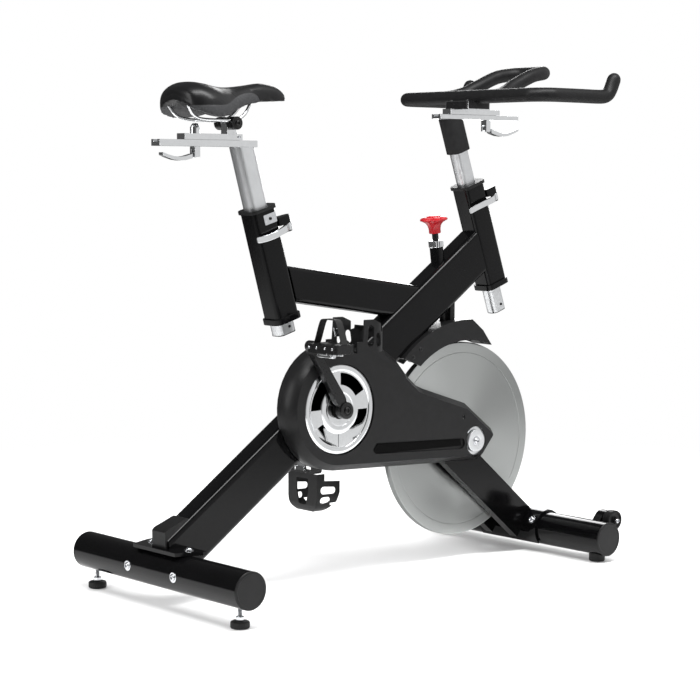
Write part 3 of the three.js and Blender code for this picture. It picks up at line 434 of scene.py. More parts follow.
def smooth_path(points, per_span=8):
    """Points along a Catmull-Rom curve through the given ones."""
    spots = [Vector(p) for p in points]
    ends = [2 * spots[0] - spots[1], *spots, 2 * spots[-1] - spots[-2]]
    path = []
    for a, b, c, d in zip(ends, ends[1:], ends[2:], ends[3:]):
        for step in range(per_span):
            t = step / per_span
            path.append(0.5 * ((2 * b) + (c - a) * t + (2 * a - 5 * b + 4 * c - d) * t * t
                               + (3 * b - a - 3 * c + d) * t ** 3))
    return [*path, spots[-1]]


def dome(station, sign):
    """The stations of a round end, out from a sweep's first or last station."""
    spot, ahead, side, size = station
    return [(spot + ahead * sign * size * math.sin(a), ahead, side, size * math.cos(a))
            for a in (math.radians(d) for d in (25, 50, 70, 85))]


def sweep(path, radius, sides):
    """A round bar along a path, with domed ends."""
    heading = (path[1] - path[0]).normalized()
    normal = heading.orthogonal().normalized()
    stations = []
    for i, spot in enumerate(path):
        ahead = path[min(i + 1, len(path) - 1)] - path[max(i - 1, 0)]
        ahead.normalize()
        normal = (normal - ahead * normal.dot(ahead)).normalized()
        stations.append((spot, ahead, normal.copy(), radius))
    stations = dome(stations[0], -1)[::-1] + stations + dome(stations[-1], 1)
    rings = []
    for spot, ahead, side, size in stations:
        other = ahead.cross(side)
        rings.append([
            spot + size * (math.cos(2 * math.pi * k / sides) * side
                           + math.sin(2 * math.pi * k / sides) * other)
            for k in range(sides)
        ])
    return skin(rings)


def merged(*parts):
    """Several meshes as one, each still its own body."""
    bm = bmesh.new()
    for part in parts:
        mesh = bpy.data.meshes.new("scratch")
        part.to_mesh(mesh)
        part.free()
        bm.from_mesh(mesh)
        bpy.data.meshes.remove(mesh)
    return bm


def slab(outline, low, high):
    """An outline in X and Y, from one height to another."""
    return skin([[(a, b, low) for a, b in outline], [(a, b, high) for a, b in outline]])


def rounded_box(width, depth, corner, steps=5):
    """The outline of a rectangle about the origin, with round corners."""
    points = []
    for quarter, (sx, sy) in enumerate(((1, 1), (-1, 1), (-1, -1), (1, -1))):
        for i in range(steps + 1):
            angle = math.radians(90 * quarter + 90 * i / steps)
            points.append((sx * (width / 2 - corner) + corner * math.cos(angle),
                           sy * (depth / 2 - corner) + corner * math.sin(angle)))
    return points


# ------------------------------------------------------------------ fasteners
def socket_screw(name, at, axis, body, size=7.0, look="zinc", washer=True):
    """A domed screw with a hexagon socket, on a washer."""
    low = 1.4 if washer else 0.0
    profile = [(size + 3.5, 0), (size + 3.5, 1.1), (size + 3.0, 1.4)] if washer else []
    profile += [
        (size, low), (size, low + 1.2), (size * 0.92, low + 2.6), (size * 0.72, low + 3.7),
        (size * 0.58, low + 4.0), (size * 0.52, low + 3.8, hexagon), (size * 0.5, low + 1.3, hexagon),
    ]
    return piece(name, turned(profile, 36), body, look, toward(axis, at))


def hex_screw(name, at, axis, body, size=8.0, look="zinc"):
    """A hexagon head with a chamfered crown, on a washer."""
    profile = [
        (size * 1.35, 0), (size * 1.35, 1.3), (size * 1.3, 1.6), (size, 1.6, hexagon),
        (size, 6.0, hexagon), (size * 0.93, 7.2, hexagon), (size * 0.8, 7.6), (size * 0.3, 7.6),
    ]
    return piece(name, turned(profile, 36), body, look, toward(axis, at))


def cross_screw(name, at, axis, body, size=4.2, look="zinc"):
    """A small pan head with a cross cut into it."""
    def cross(angle):
        return 1.0 - 0.55 * abs(math.sin(2 * angle)) ** 0.5
    profile = [
        (size, 0), (size, 1.0), (size * 0.9, 1.9), (size * 0.68, 2.4), (size * 0.6, 2.4, cross),
        (size * 0.4, 1.0, cross), (size * 0.1, 0.8),
    ]
    return piece(name, turned(profile, 40), body, look, toward(axis, at))


# ------------------------------------------------------------------ frame
# The leaning groups of the seat tube, the head tube and the brake rod.
SEAT = leaning(-237, 567, 16.2)
BARS = leaning(427.5, 589, 19.2)
BRAKE = leaning(*WHEEL, 7.7)

for node, rounding in {
    "main_beam": 1.0, "beam_end_cap": 3.0, "seat_tube": 1.0, "head_tube": 1.0, "top_tube": 0.8,
    "seat_tube_bush": 1.2, "head_tube_bush": 1.2, "right_fork_leg": 1.6, "left_fork_leg": 1.6,
    "front_bracket": 1.4, "rear_stabiliser": 0.8, "front_stabiliser": 1.0,
    "bottom_bracket": 0.8, "crank_axle": 0.8, "drive_pulley": 0.6,
    "right_pedal": 2.0, "left_pedal": 2.0,
    "flywheel_axle": 1.2, "drive_belt": 0.5,
    "drive_cover_outer": 1.2, "dropout_cover": 1.2, "drive_cover_inner": 1.0, "fender": 1.4,
    "brake_arm": 1.2, "seat_post": 0.7, "handlebar_post": 0.7,
    "post_sleeve": 2.0, "seat_rail": 0.9,
    "handlebar_rail": 0.9, "seat_carriage": 1.2, "handlebar_carriage": 1.2,
    "seat_slider_lever": 1.3, "handlebar_slider_lever": 1.3,
}.items():
    refined(node, rounding)
refined("brake_rod", 0.6, "machine_black")
refined("saddle_clamp", 1.2, "machine_black")


def make_end_cap(bar, centre, side, sign):
    """A plastic cap with a rolled lip and a slightly sunken middle."""
    x, z = centre
    dished = turned([(36.7, -19), (36.7, 0.4), (40, 0.4), (40, 1.6), (39.2, 2.6), (37.5, 3.0),
                     (34, 3.2), (33.4, 2.7), (30, 2.7), (0.5, 2.9)], 96)
    cap = piece(f"{bar}_{side}_cap", dished, "frame", "satin_black",
                toward((0, sign, 0), (x, sign * BAR_HALF, z)))
    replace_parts(cap, f"{bar}_{side}_end_cap")


for side, sign in SIDES:
    make_end_cap("rear", REAR_BAR, side, sign)
    make_end_cap("front", FRONT_BAR, side, sign)


# ------------------------------------------------------------------ feet and transport wheels
def ribbed(count, depth):
    """The outline of a ring with a number of shallow ribs."""
    def shape(angle):
        return 1 - depth * (0.5 + 0.5 * math.cos(count * angle))
    return shape


def make_foot(side, sign):
    """A levelling foot: a ribbed rubber pad, a threaded stem and its lock nut."""
    body = "rear_foot_" + side
    place = Matrix.Translation((REAR_BAR[0], sign * FOOT_Y, 0))
    grip = ribbed(24, 0.035)
    pad = turned([(17.2, 0), (18.6, 0.6), (20, 2.2, grip), (20, 11.4, grip), (18.8, 13.6),
                  (16, 15), (9.5, 15.2), (9.2, 16.4), (5, 16.4)], 144)
    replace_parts(piece(f"rear_{side}_foot_pad", pad, body, "rubber", place), f"rear_{side}_foot")
    pitch, turns, low = 2, 20, 16
    thread = [(4.9, low)]
    for number in range(turns):
        thread += [(5.0, low + 0.6 + pitch * number), (4.35, low + 1.6 + pitch * number)]
    thread.append((5.0, 57.5))
    piece(f"rear_{side}_foot_stem", turned(thread, 28), body, "zinc", place)
    nut = [(8.6, 17.2), (9.4, 17.9, hexagon), (9.4, 22.8, hexagon), (8.6, 23.6), (5.2, 23.6)]
    piece(f"rear_{side}_foot_nut", turned(nut, 36), body, "zinc", place)


def make_transport_wheel(side, sign):
    """A wheel with a grooved tread and a sunken web, on a bolt."""
    x, z = TRANSPORT
    tread = turned([
        (5.4, 0), (17, 0), (18, 0.8), (21.5, 0.8), (23.4, 1.8), (24, 4), (24, 7.2), (23, 8),
        (24, 8.8), (24, 15.2), (23, 16), (24, 16.8), (24, 20), (23.4, 22.2), (21.5, 23.2),
        (18.5, 23.2), (18, 21), (13, 20.6), (10.5, 21), (10, 23.6), (5.4, 23.6),
    ], 72)
    wheel = piece(f"{side}_transport_tyre", tread, "transport_wheel_" + side, "satin_black",
                  toward((0, sign, 0), (x, sign * TRANSPORT_INNER, z)))
    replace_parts(wheel, f"{side}_transport_wheel")
    socket_screw(f"{side}_transport_bolt", (x, sign * 266, z), (0, sign, 0), "frame", 5.5,
                 washer=False)


for side, sign in SIDES:
    make_foot(side, sign)
    refined(f"front_{side}_pad", 1.5)
    make_transport_wheel(side, sign)


# ------------------------------------------------------------------ flywheel
def groove(radius, face):
    """A fine groove turned into a face, from its outer edge in."""
    return [(radius + 0.8, face), (radius + 0.2, face + 0.7), (radius - 0.2, face + 0.7),
            (radius - 0.8, face)]


def make_flywheel():
    """A steel disc with two turned grooves on the right and a sunken web on the left."""
    face, back, hub, hub_half = -20.0, -2.0, 30, 28
    edge = WHEEL_RADIUS
    profile = [
        (8.5, -hub_half), (hub - 1, -hub_half), (hub, 1 - hub_half), (hub, face - 1.2),
        (hub + 1.5, face - 0.3), *groove(60, face)[::-1], *groove(205, face)[::-1],
        (edge - 3.5, face), (edge - 1, face + 0.8), (edge, face + 2.4), (edge, back - 2.4),
        (edge - 1, back - 0.8), (edge - 3.5, back), (206, back), (204.5, back - 0.6),
        (203.5, back - 3.6), (202, back - 4.2), (46, back - 4.2), (43, back - 3.4),
        (41.5, back - 0.6), (40, back), (hub + 1.5, back), (hub, back + 1), (hub, hub_half - 1),
        (hub - 1, hub_half), (8.5, hub_half),
    ]
    wheel = piece("flywheel_disc", turned(profile, 192), "flywheel_assembly", "wheel_face",
                  toward((0, 1, 0), (WHEEL[0], 0, WHEEL[1])))
    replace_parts(wheel, "flywheel")


make_flywheel()
axle_end = toward((0, -1, 0), (WHEEL[0], -76.9, WHEEL[1]))
piece("axle_cover_disc", turned([(26, -0.5), (26.2, 0.5), (25.4, 1.3), (24, 1.5), (13, 1.5),
                                 (12.2, 0.9), (11, 0.6)], 72),
      "flywheel_assembly", "satin_steel", axle_end)
socket_screw("axle_right_bolt", (WHEEL[0], -77.4, WHEEL[1]), (0, -1, 0), "flywheel_assembly", 7.2)
hex_screw("axle_left_nut", (WHEEL[0], 66, WHEEL[1]), (0, 1, 0), "flywheel_assembly", 6.0)


# ------------------------------------------------------------------ brake knob and nut
def lobed(depth):
    """The outline of a ring with six lobes."""
    def shape(angle):
        return 1 - depth * (0.5 - 0.5 * math.cos(6 * angle)) ** 1.3
    return shape


knob = turned([
    (7.8, 493.2), (12.6, 493), (13.8, 493.8), (14, 495), (13.8, 500), (14.2, 505), (15.6, 510.5),
    (18.2, 515, lobed(0.03)), (22.5, 519, lobed(0.09)), (28.5, 521.8, lobed(0.15)),
    (32.4, 523.4, lobed(0.17)), (33.5, 525.4, lobed(0.17)), (32.6, 527.8, lobed(0.16)),
    (29.5, 529.6, lobed(0.13)), (24, 531.2, lobed(0.07)), (18.6, 532, lobed(0.02)), (17.6, 531.3),
    (16.6, 531.5), (15, 533), (11, 534.4), (5, 534.9), (0.5, 535),
], 144)
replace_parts(piece("brake_knob_lobed", knob, "brake_dial", "red", BRAKE), "brake_knob")
guide = turned([
    (10.7, 421), (10.7, 460.3), (16.4, 460.3), (17.2, 461.2), (17.5, 462.4, ribbed(20, 0.07)),
    (17.5, 474.5, ribbed(20, 0.07)), (16.6, 476), (14, 476.5), (8.1, 476.5),
], 144)
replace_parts(piece("brake_guide_ring", guide, "frame", "chrome", BRAKE), "brake_guide_nut")


# ------------------------------------------------------------------ saddle
SADDLE = [  # position, half width, crown height and skirt height, tail to nose
    (-537, 26, 1076, 1062), (-534, 42, 1085, 1058), (-526, 62, 1095, 1047),
    (-505, 77, 1103, 1035), (-475, 79.5, 1101, 1029), (-440, 70, 1095, 1031),
    (-400, 49, 1094, 1045), (-354, 34.5, 1099, 1060), (-310, 27.5, 1105.5, 1067),
    (-270, 23, 1104.5, 1069), (-250, 18, 1097, 1071), (-241, 11.5, 1089, 1074),
    (-238.5, 6, 1083, 1077),
]


def saddle_section(x, half, crown, skirt, count=56):
    """A ring round the saddle: a crowned pad over a shallow arch, with a rolled lower edge."""
    height = crown - skirt
    ring = []
    for i in range(count):
        angle = 2 * math.pi * i / count
        across, up = math.cos(angle), math.sin(angle)
        if up >= 0:
            reach = math.copysign(abs(across) ** 0.86, across)
            ring.append((x, half * reach, skirt + height * up ** 0.66))
        else:
            roll = -height * 0.06 * math.sin(angle * 2) ** 2
            arch = 0.3 * height * abs(up) ** 0.8 * (1 - abs(across)) ** 0.3
            ring.append((x, half * 0.97 * across, skirt + roll + arch))
    return ring


def saddle_mesh():
    stations = smooth_path([(x, half, crown) for x, half, crown, _ in SADDLE], 5)
    skirts = smooth_path([(x, 0, skirt) for x, _, _, skirt in SADDLE], 5)
    rings = [saddle_section(a[0], max(a[1], 2), a[2], min(b[2], a[2] - 3))
             for a, b in zip(stations, skirts)]
    return skin(rings)


def remeshed(obj, size, smooth=0):
    """The object's mesh rebuilt from even quads."""
    voxels = obj.modifiers.new("remesh", "REMESH")
    voxels.mode = "VOXEL"
    voxels.voxel_size = size
    if smooth:
        relax = obj.modifiers.new("relax", "SMOOTH")
        relax.factor = 0.5
        relax.iterations = smooth
    apply_all(obj)


def apply_all(obj):
    graph = bpy.context.evaluated_depsgraph_get()
    graph.update()
    made = bpy.data.meshes.new_from_object(obj.evaluated_get(graph))
    obj.modifiers.clear()
    old = obj.data
    obj.data = made
    bpy.data.meshes.remove(old)
    for polygon in made.polygons:
        polygon.use_smooth = True


def inflate(obj, most):
    """Puffs a padded piece up with air pressure, moving no point further than a limit."""
    rest = [v.co.copy() for v in obj.data.vertices]
    cloth = obj.modifiers.new("air", "CLOTH")
    cloth.settings.quality = 5
    cloth.settings.use_pressure = True
    cloth.settings.uniform_pressure_force = 4
    cloth.settings.effector_weights.gravity = 0
    scene = bpy.context.scene
    for number in range(1, 21):
        scene.frame_set(number)
    graph = bpy.context.evaluated_depsgraph_get()
    moved = [v.co.copy() for v in obj.evaluated_get(graph).data.vertices]
    obj.modifiers.remove(cloth)
    scene.frame_set(1)
    for vertex, a, b in zip(obj.data.vertices, rest, moved):
        step = b - a
        if step.length > most:
            step *= most / step.length
        vertex.co = a + step


def make_saddle():
    pad = piece("saddle_pad", saddle_mesh(), "saddle_assembly", "saddle_cover", weighted=False)
    remeshed(pad, 0.0036, 3)
    inflate(pad, 0.0025)
    rounder = pad.modifiers.new("rounder", "SUBSURF")
    rounder.levels = rounder.render_levels = 1
    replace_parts(pad, "saddle")


make_saddle()


def wire_half(side):
    """One of the two saddle wires, from the tail socket to where both meet at the nose."""
    return [(-522, side * 34, 1056), (-505, side * 30, 1036), (-479, side * 24, 1028),
            (-430, side * 22, 1026.5), (-390, side * 22, 1027), (-362, side * 20, 1040),
            (-342, side * 14, 1064)]


wires = sweep(smooth_path([*wire_half(1), (-330, 0, 1076), *wire_half(-1)[::-1]]), 3.5, 16)
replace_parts(piece("saddle_wires", wires, "saddle_assembly", "chrome", weighted=False),
            "saddle_rails")


# ------------------------------------------------------------------ handlebar
def make_handlebar():
    """The cross bar with its two horns, and the loop that rises between them, in one dipped skin."""
    x, z = HANDLEBAR
    half, corner, horn = 240, 48, 540

    def bend(side):
        turn = [(x + corner - corner * math.cos(a), side * (half - corner + corner * math.sin(a)), z)
                for a in (math.radians(d) for d in (0, 22.5, 45, 67.5, 90))]
        return [*turn, (x + 130, side * half, z), (horn - 18, side * half, z),
                (horn + 5, side * half, z + 4), (horn + 18, side * half, z + 17),
                (horn + 30, side * half, z + 41)]

    def rise(side):
        return [(x + 2, side * 88, z), (x + 30, side * 78, z + 4), (x + 62, side * 68, z + 14),
                (x + 95, side * 62, z + 29), (x + 155, side * 60, z + 53),
                (x + 200, side * 52, z + 61), (x + 220, side * 28, z + 63)]

    main = sweep(smooth_path([*bend(1)[::-1], (x, 90, z), (x, -90, z), *bend(-1)]), GRIP, 28)
    loop = sweep(smooth_path([*rise(1), *rise(-1)[::-1]]), GRIP, 28)
    bar = piece("handlebar_dipped", merged(main, loop), "handlebar_slider", "grip", weighted=False)
    remeshed(bar, 0.0026, 5)
    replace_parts(bar, "handlebar")


make_handlebar()


# ------------------------------------------------------------------ pedals
def pedal_place(side, sign):
    """The matrix of a pedal's own frame: its middle at the origin and the toe along +X."""
    lean = math.radians(CRANK_LEAN)
    x = CRANK[0] + sign * CRANK_LENGTH * math.sin(lean)
    z = CRANK[1] - sign * CRANK_LENGTH * math.cos(lean)
    return leaning(x, z, PEDAL_TILT[side]) @ Matrix.Translation((0, sign * PEDAL_MIDDLE, 0))


def make_strap(side, sign):
    """A flat band that arches over the foot, narrower at the top."""
    left = [(46, 10.6), (40.5, 24), (34.5, 40), (29, 53), (24, 60.5), (16, 63.2)]
    arch = [*left, (0, 63.6), *[(-a, b) for a, b in left[::-1]]]
    path = smooth_path([(a, b, 0) for a, b in arch], 5)
    half, thick, foot = 9, 2.0, Vector((0, 20, 0))
    rings = []
    for i, outer in enumerate(path):
        ahead = path[min(i + 1, len(path) - 1)] - path[max(i - 1, 0)]
        inward = Vector((-ahead.y, ahead.x, 0)).normalized()
        if inward.dot(foot - outer) < 0:
            inward.negate()
        inner = outer + inward * thick
        rings.append([(-half, outer.x, outer.y), (half, outer.x, outer.y),
                      (half, inner.x, inner.y), (-half, inner.x, inner.y)])
    strap = piece(f"{side}_strap_band", skin(rings), "pedal_" + side, "rubber",
                  pedal_place(side, sign))
    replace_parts(strap, f"{side}_toe_strap")


def make_toe_basket(side, sign):
    """The toe cage, with a tapering window in its sole."""
    rear, shoulder, front, wide, narrow = 42, 72, 104, 21, 9
    right = [(rear, -wide), (shoulder, -wide), (front - 3, -narrow - 4), (front, -narrow)]
    window = slab([*right, *[(a, -b) for a, b in right[::-1]]], -14, -4)
    window.transform(pedal_place(side, sign))
    node = f"{side}_toe_cage"
    cage = piece(f"{side}_toe_basket", cut_away(from_node(node), window), "pedal_" + side,
                 "satin_black", rounding=0.8)
    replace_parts(cage, node)


for side, sign in SIDES:
    make_toe_basket(side, sign)
    make_strap(side, sign)


# ------------------------------------------------------------------ cranks and spider
def crank_outline():
    """From above: a hub boss, a slim waist and a smaller boss at the pedal."""
    upper = smooth_path([(16.5, 9.5, 0), (30, 13.2, 0), (60, 11.6, 0), (110, 10.2, 0),
                         (150, 10.8, 0), (163, 12.2, 0)], 4)
    hub = [(19 * math.cos(a), 19 * math.sin(a)) for a in
           (math.radians(d) for d in range(32, 329, 12))]
    end = [(CRANK_LENGTH + 13 * math.cos(a), 13 * math.sin(a)) for a in
           (math.radians(d) for d in range(-105, 106, 14))]
    side = [(p.x, p.y) for p in upper]
    return hub + [(a, -b) for a, b in side] + end + side[::-1]


def make_crank(side, sign):
    """A crank arm with a sunken channel, a boss at each end, the pedal's spindle and a bolt."""
    inner, outer, look = 84, 100, "machine_black"
    arm = slab(crank_outline(), inner, outer)
    top = max(arm.faces, key=lambda face: face.calc_center_median().z)
    bmesh.ops.inset_region(arm, faces=[top], thickness=4.2, use_even_offset=True)
    bmesh.ops.translate(arm, verts=top.verts, vec=(0, 0, -2.2))
    turn = math.radians(CRANK_LEAN - sign * 90)
    outward = Matrix(((1, 0, 0, 0), (0, 0, sign, 0), (0, 1, 0, 0), (0, 0, 0, 1)))
    place = Matrix.Translation((CRANK[0], 0, CRANK[1])) @ Matrix.Rotation(-turn, 4, "Y") @ outward
    obj = piece(f"{side}_crank_arm", arm, "crankset", look, place, rounding=1.6)
    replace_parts(obj, f"{side}_crank")
    tip = Matrix.Translation((CRANK_LENGTH, 0, 0))
    for name, shift, size in (("hub", HERE, 19), ("tip", tip, 13)):
        boss = turned([(size - 1.5, outer - 1), (size - 0.6, outer + 0.6), (size - 2, outer + 1.6),
                       (size * 0.55, outer + 1.8), (size * 0.5, outer + 0.4), (0.5, outer + 0.4)],
                      48)
        piece(f"{side}_crank_{name}_boss", boss, "crankset", look, place @ shift)
    spindle = turned([(5, outer - 1), (9, outer - 1), (9, outer + 7.2), (5, outer + 7.4),
                      (5, 199)], 32)
    piece(f"{side}_spindle", spindle, "crankset", look, place @ tip)
    socket_screw(f"{side}_crank_bolt", place @ Vector((0, 0, outer + 0.6)), (0, sign, 0), "crankset",
                 8.0, look, False)


for side, sign in SIDES:
    make_crank(side, sign)

at_crank = toward((0, -1, 0), (CRANK[0], SPIDER_FACE, CRANK[1]))


def make_spider():
    """Four broad spokes between four windows, on a flat ring and a raised hub."""
    parts = [turned([(82, -3.4), (99.4, -3.4), (99.4, -0.6), (82, -0.6)], 128),
             turned([(21, -3.4), (41, -3.4), (41, 0.4), (39, 1.4), (24, 1.4), (21, 0.4)], 96)]
    edge = [(37, -19), (83.6, -15.5), (84.4, 0), (83.6, 15.5), (37, 19), (36, 0)]
    for middle in range(14, 360, 90):
        spoke = [(reach, math.radians(middle + angle)) for reach, angle in edge]
        parts.append(slab([(r * math.cos(a), r * math.sin(a)) for r, a in spoke], -3.2, 0.9))
    return merged(*parts)


def make_spider_rings():
    """A gloss-black disc behind the windows, painted shade for the hollow behind the spider, and the
    steps and rims turned round the spider.
    """
    for name, look, parent_look, sides, profile in (
        # Painted shade: a dark disc behind the windows stands for the shade in the hollow behind the
        # spider.
        ("spider_windows_painted_shade", "gloss_black", None, 96,
         [(40, -5.6), (84, -5.6), (84, -5.2), (60, -4.6), (40, -5.2)]),
        ("spider_inner_step", "satin_steel", "chrome", 96,
         [(41, -4.9), (57, -4.9), (57, -2.4), (54, -1.6), (41, -1.2)]),
        ("spider_rim", "chrome", None, 128,
         [(85, -0.6), (86, 0.8), (89, 1.9), (94, 2.1), (98, 1.2), (99.4, -0.4), (98, -1.6),
          (86, -1.6)]),
        ("spider_hub_ring", "chrome", None, 96,
         [(36, -0.6), (37, 1.8), (39, 2.6), (47, 2.9), (53, 1.6), (55, -0.4), (53, -1.6),
          (38, -1.6)]),
        ("spider_hub_well", "machine_black", None, 72,
         [(24, -4), (35.6, -4), (35.6, 0.7), (34.4, 0.9), (30, 0.6), (24, 0.5)]),
    ):
        piece(name, turned(profile, sides), "crankset", look, at_crank)


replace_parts(piece("spider_plate", make_spider(), "crankset", "chrome", at_crank, rounding=0.5),
            "pulley_spider")
make_spider_rings()


# ------------------------------------------------------------------ clamp levers
def clamp_lever(name, node, body, group, middle, drop):
    """A bowed flat lever that curls from its upright pin round the tube's corner."""
    path = smooth_path([(*CLAMP_PIN, 0), (52, -27.5, 0), (40, -35, -0.02 * drop),
                        (24, -39.5, -0.3 * drop), (2, -41.5, -0.7 * drop),
                        (-24, -41.5, -0.6 * drop), (-45, -39.5, 0)], 5)
    section = [(1, 0.62), (0.72, 0.93), (0.3, 1), (-0.3, 1), (-0.72, 0.93), (-1, 0.62)]
    section = [(1, -0.62), *section, *[(a, -b) for a, b in section[:0:-1]]]
    rings = []
    count = len(path) - 1
    for i, spot in enumerate(path):
        t = i / count
        ahead = (path[min(i + 1, count)] - path[max(i - 1, 0)]).normalized()
        out = Vector((ahead.y, -ahead.x, 0)).normalized()
        thick = 5.2 * (0.72 + 0.28 * math.cos(math.pi * t)) * (0.75 if i in (0, count) else 1)
        high = (8.6 - 1.9 * t) * (0.8 if i in (0, count) else 1)
        rings.append([spot + out * thick * across + UP * high * up for across, up in section])
    hub = turned([(5.4, -8.7), (8, -8.7), (9, -7.6), (9, 7.6), (8, 8.7), (5.4, 8.7)], 40)
    bmesh.ops.translate(hub, verts=hub.verts, vec=(*CLAMP_PIN, 0))
    lever = piece(name, merged(skin(rings), hub), body, "chrome",
                  group @ Matrix.Translation((0, 0, middle)))
    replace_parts(lever, node)
    pin = toward(UP, (*CLAMP_PIN, middle + 7.4))
    piece(name + "_pin_cap", turned([(4.8, 0), (4.8, 2.4), (3.8, 3.2), (0.5, 3.4)], 32), "frame",
          "zinc", group @ pin)


clamp_lever("seat_lever_bowed", "seat_clamp_lever", "seat_clamp", SEAT, 226, 4)
clamp_lever("head_lever_bowed", "head_clamp_lever", "head_clamp", BARS, 269, -3)

# ------------------------------------------------------------------ plates, plugs and small parts
def make_seat_clamp_plate():
    side = (0, -1, 0)
    piece("seat_clamp_plate", slab(rounded_box(34, 22, 2), 0, 1.6), "frame", "zinc",
          SEAT @ toward(side, (12, -26.6, 258)), rounding=0.4)
    cross_screw("seat_clamp_plate_screw", SEAT @ Vector((12, -28, 258)), side, "frame", 3.6,
                "machine_black")


def make_post_plug(name, group, body, depth, width):
    """The plug in a post's open foot, its lip, and the rivet that holds it."""
    plug = slab(rounded_box(depth, width, 10), -1.6, 6)
    piece(name + "_post_plug", plug, body, "satin_black", group, rounding=0.7)
    lip = slab(rounded_box(depth + 5, width + 5, 12), -1.9, -0.2)
    piece(name + "_post_lip", lip, body, "satin_black", group, rounding=0.5)
    rivet = group @ Vector((4, -(width + 5) / 2 - 0.2, 14))
    cross_screw(name + "_post_rivet", rivet, (0, -1, 0), body, 3.2, "machine_black")


def make_rail_plug(name, x, depth, high, body):
    plug = slab(rounded_box(depth, 13.4, 0.6), high - 5.6, high - 0.6)
    piece(name + "_rail_plug", plug, body, "grey_plug", Matrix.Translation((x, 0, 0)),
          rounding=0.3)


def make_clamp_screws(side, sign):
    """The screws of the handlebar's clamp block, and the one through the saddle clamp."""
    for end, x in (("rear", HANDLEBAR[0] - 28), ("front", HANDLEBAR[0] + 28)):
        socket_screw(f"handlebar_clamp_{side}_{end}_screw", (x, sign * 27, 1086), UP,
                     "handlebar_slider", 4.6, "machine_black", False)
    x, z = TILT_PIN
    socket_screw(f"saddle_clamp_{side}_screw", (x, sign * 31.8, z), (0, sign, 0),
                 "saddle_assembly", 6.2, "machine_black")


def make_cover_details():
    """A near-black sheet of painted shade on the floor of the drive cover's long slot, and the small
    screws on this side.
    """
    slot = [(-44, 286.5), (-24, 309), (236, 297.5), (240, 281)]
    facing = Matrix(((1, 0, 0, 0), (0, 0, 1, COVER_FACE), (0, -1, 0, 0), (0, 0, 0, 1)))
    # Painted shade: a near-black sheet on the slot's floor stands for the shade inside it.
    piece("cover_vent_painted_shade", slab([(x, -z) for x, z in slot], 0, 1.4), "frame", "slot_painted_shade",
          facing, rounding=0.4)
    for number, (x, z) in enumerate(((139, 511), (115, 494))):
        cross_screw(f"fender_screw_{number}", (x, -41, z), (0, -1, 0), "frame", 5.0,
                    "machine_black")
    cross_screw("dropout_cover_screw", (247, -71, 348), (0, -1, 0), "frame", 4.4, "machine_black")


def make_pedal_fittings(side, sign):
    """A pedal's screws, the cleat binding under it with two springs, and the strap's buckle."""
    place = pedal_place(side, sign)
    body = "pedal_" + side
    rearward = place.to_3x3() @ Vector((-1, 0, 0))
    for number, y in enumerate((-38, -14, 14, 38)):
        cross_screw(f"{side}_pedal_screw_{number}", place @ Vector((-29, y, 2)), rearward, body, 3.0)
    binding = merged(
        slab(rounded_box(46, 30, 5), -13.5, -9.6),
        slab([(a - 17, b) for a, b in rounded_box(9, 44, 3)], -18.5, -10),
        slab([(a + 18, b) for a, b in rounded_box(8, 34, 3)], -17.5, -10),
    )
    piece(f"{side}_cleat_binding", binding, body, "chrome", place, rounding=0.9)
    for number, y in enumerate((-17, 17)):
        coil = [(5.2, -8)]
        for turn in range(8):
            coil += [(5.6, -7.4 + 2 * turn), (4.8, -6.4 + 2 * turn)]
        coil.append((5.2, 8.8))
        piece(f"{side}_binding_spring_{number}", turned(coil, 24), body, "zinc",
              place @ toward((0, 1, 0), (-12, y, -14.5)))
    buckle = merged(
        slab(rounded_box(24, 3, 1.2), 30, 48),
        slab([(a, b - 2.4) for a, b in rounded_box(26, 2.6, 1.2)], 36, 40),
    )
    piece(f"{side}_strap_buckle", buckle, body, "zinc",
          place @ Matrix.Translation((0, sign * 37.8, 0)) @ Matrix.Rotation(sign * 0.36, 4, "X"),
          rounding=0.5)


make_seat_clamp_plate()
make_post_plug("seat", SEAT, "seat_column", 43, 34)
make_post_plug("handlebar", BARS, "handlebar_column", 36, 28)
make_rail_plug("seat", -576.6, 7, 985, "seat_column")
make_rail_plug("handlebar", 221.2, 1.4, 1055, "handlebar_column")
piece("handlebar_clamp_block", slab(rounded_box(74, 78, 6), 1068.6, 1086), "handlebar_slider",
      "machine_black", Matrix.Translation((HANDLEBAR[0], 0, 0)), rounding=1.6)
for side, sign in SIDES:
    make_clamp_screws(side, sign)
socket_screw("seat_carriage_rear_screw", (-372, -13.9, 992), (0, -1, 0), "seat_slider", 2.5,
             "zinc", False)
make_cover_details()
for side, sign in SIDES:
    make_pedal_fittings(side, sign)

# The bolts that hold the floor bars to the beam's plate and the front bracket.
for side, sign in SIDES:
    socket_screw(f"rear_bar_{side}_bolt", (-599.4, sign * 82, REAR_BAR[1]), (-1, 0, 0), "frame", 7.5)
    socket_screw(f"rear_plate_{side}_bolt", (-547, sign * 66, 129), UP, "frame", 7.0)
    socket_screw(f"front_bracket_{side}_bolt", (477.3, sign * 79, 78.6), (-0.864, 0, 0.503),
                 "frame", 7.5)


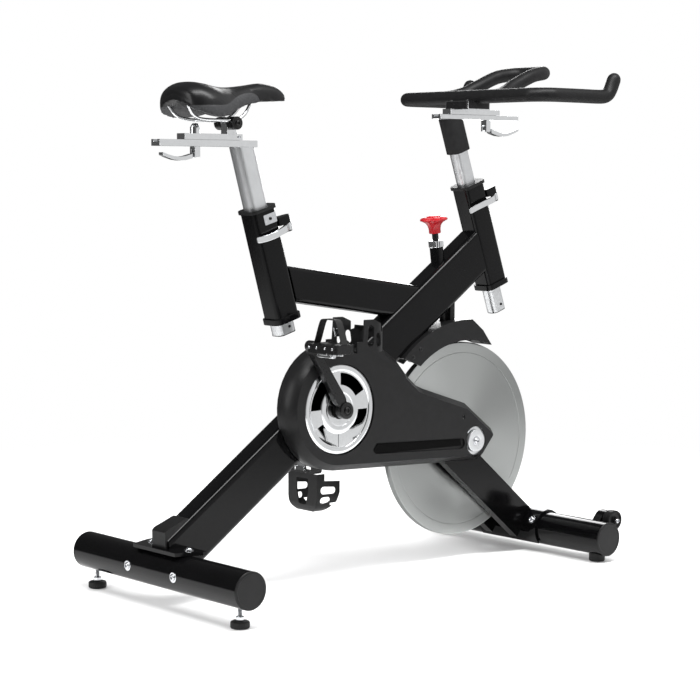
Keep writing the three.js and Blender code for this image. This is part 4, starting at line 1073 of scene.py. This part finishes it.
# ------------------------------------------------------------------ stage and lights
def make_stage():
    """A pale floor that fades away before its edge."""
    reach = 3.0
    bm = bmesh.new()
    bmesh.ops.create_grid(bm, x_segments=2, y_segments=2, size=reach)
    mesh = bpy.data.meshes.new("floor")
    bm.to_mesh(mesh)
    bm.free()
    floor = bpy.data.objects.new("floor", mesh)
    floor.location.z = -0.0005
    bpy.context.scene.collection.objects.link(floor)
    n = plain("floor", (0.93, 0.93, 0.93), 0.8, specular=0.1, vary=0.005, mottle=2,
              grain=(60, 0.02, 0.0005))
    away = n.tree.nodes.new("ShaderNodeVectorMath")
    away.operation = "LENGTH"
    n.join(n.place, away.inputs[0])
    fade = n.ramp(n.math("DIVIDE", away.outputs["Value"], reach),
                  [(0.3, (0,) * 3), (0.8, (1,) * 3)], "EASE")
    mixed = n.tree.nodes.new("ShaderNodeMixShader")
    n.join(fade, mixed.inputs[0])
    n.join(n.shader.outputs[0], mixed.inputs[1])
    n.join(n.tree.nodes.new("ShaderNodeBsdfTransparent").outputs[0], mixed.inputs[2])
    n.join(mixed.outputs[0], n.tree.nodes["Material Output"].inputs["Surface"])
    mesh.materials.append(n.material)


def soft_light(name, at, size, power, aim=(0, 0, 0.55)):
    data = bpy.data.lights.new(name, "AREA")
    data.shape = "RECTANGLE"
    data.size, data.size_y = size
    data.energy = power
    light = bpy.data.objects.new(name, data)
    light.location = at
    light.rotation_euler = (Vector(aim) - Vector(at)).to_track_quat("-Z", "Y").to_euler()
    bpy.context.scene.collection.objects.link(light)


def make_world():
    """Even white light, with darker and brighter sides that only reflections see."""
    world = bpy.data.worlds.new("studio")
    bpy.context.scene.world = world
    world.use_nodes = True
    tree = world.node_tree
    background = tree.nodes["Background"]
    background.inputs["Color"].default_value = (1, 1, 1, 1)
    place = tree.nodes.new("ShaderNodeTexCoord")
    side = tree.nodes.new("ShaderNodeVectorMath")
    side.operation = "DOT_PRODUCT"
    side.inputs[1].default_value = (0.75, -0.66, 0.12)
    tree.links.new(place.outputs["Generated"], side.inputs[0])
    walls = tree.nodes.new("ShaderNodeMapRange")
    walls.interpolation_type = "SMOOTHSTEP"
    walls.inputs["From Min"].default_value = 0.25
    walls.inputs["From Max"].default_value = 0.85
    walls.inputs["To Min"].default_value = 0.1
    walls.inputs["To Max"].default_value = 0.85
    tree.links.new(side.outputs["Value"], walls.inputs["Value"])
    path = tree.nodes.new("ShaderNodeLightPath")
    level = tree.nodes.new("ShaderNodeMapRange")
    level.inputs["To Min"].default_value = 1.0
    tree.links.new(path.outputs["Is Glossy Ray"], level.inputs["Value"])
    tree.links.new(walls.outputs["Result"], level.inputs["To Max"])
    tree.links.new(level.outputs["Result"], background.inputs["Strength"])


make_stage()
make_world()
soft_light("overhead_strip", (-0.3, -0.9, 2.9), (3.2, 0.7), 120)
soft_light("side_strip", (-3.6, 0.9, 1.6), (0.7, 2.4), 45)
soft_light("rear_strip", (2.8, 2.6, 1.8), (0.8, 2.2), 45)
bpy.context.scene.view_settings.view_transform = "Standard"
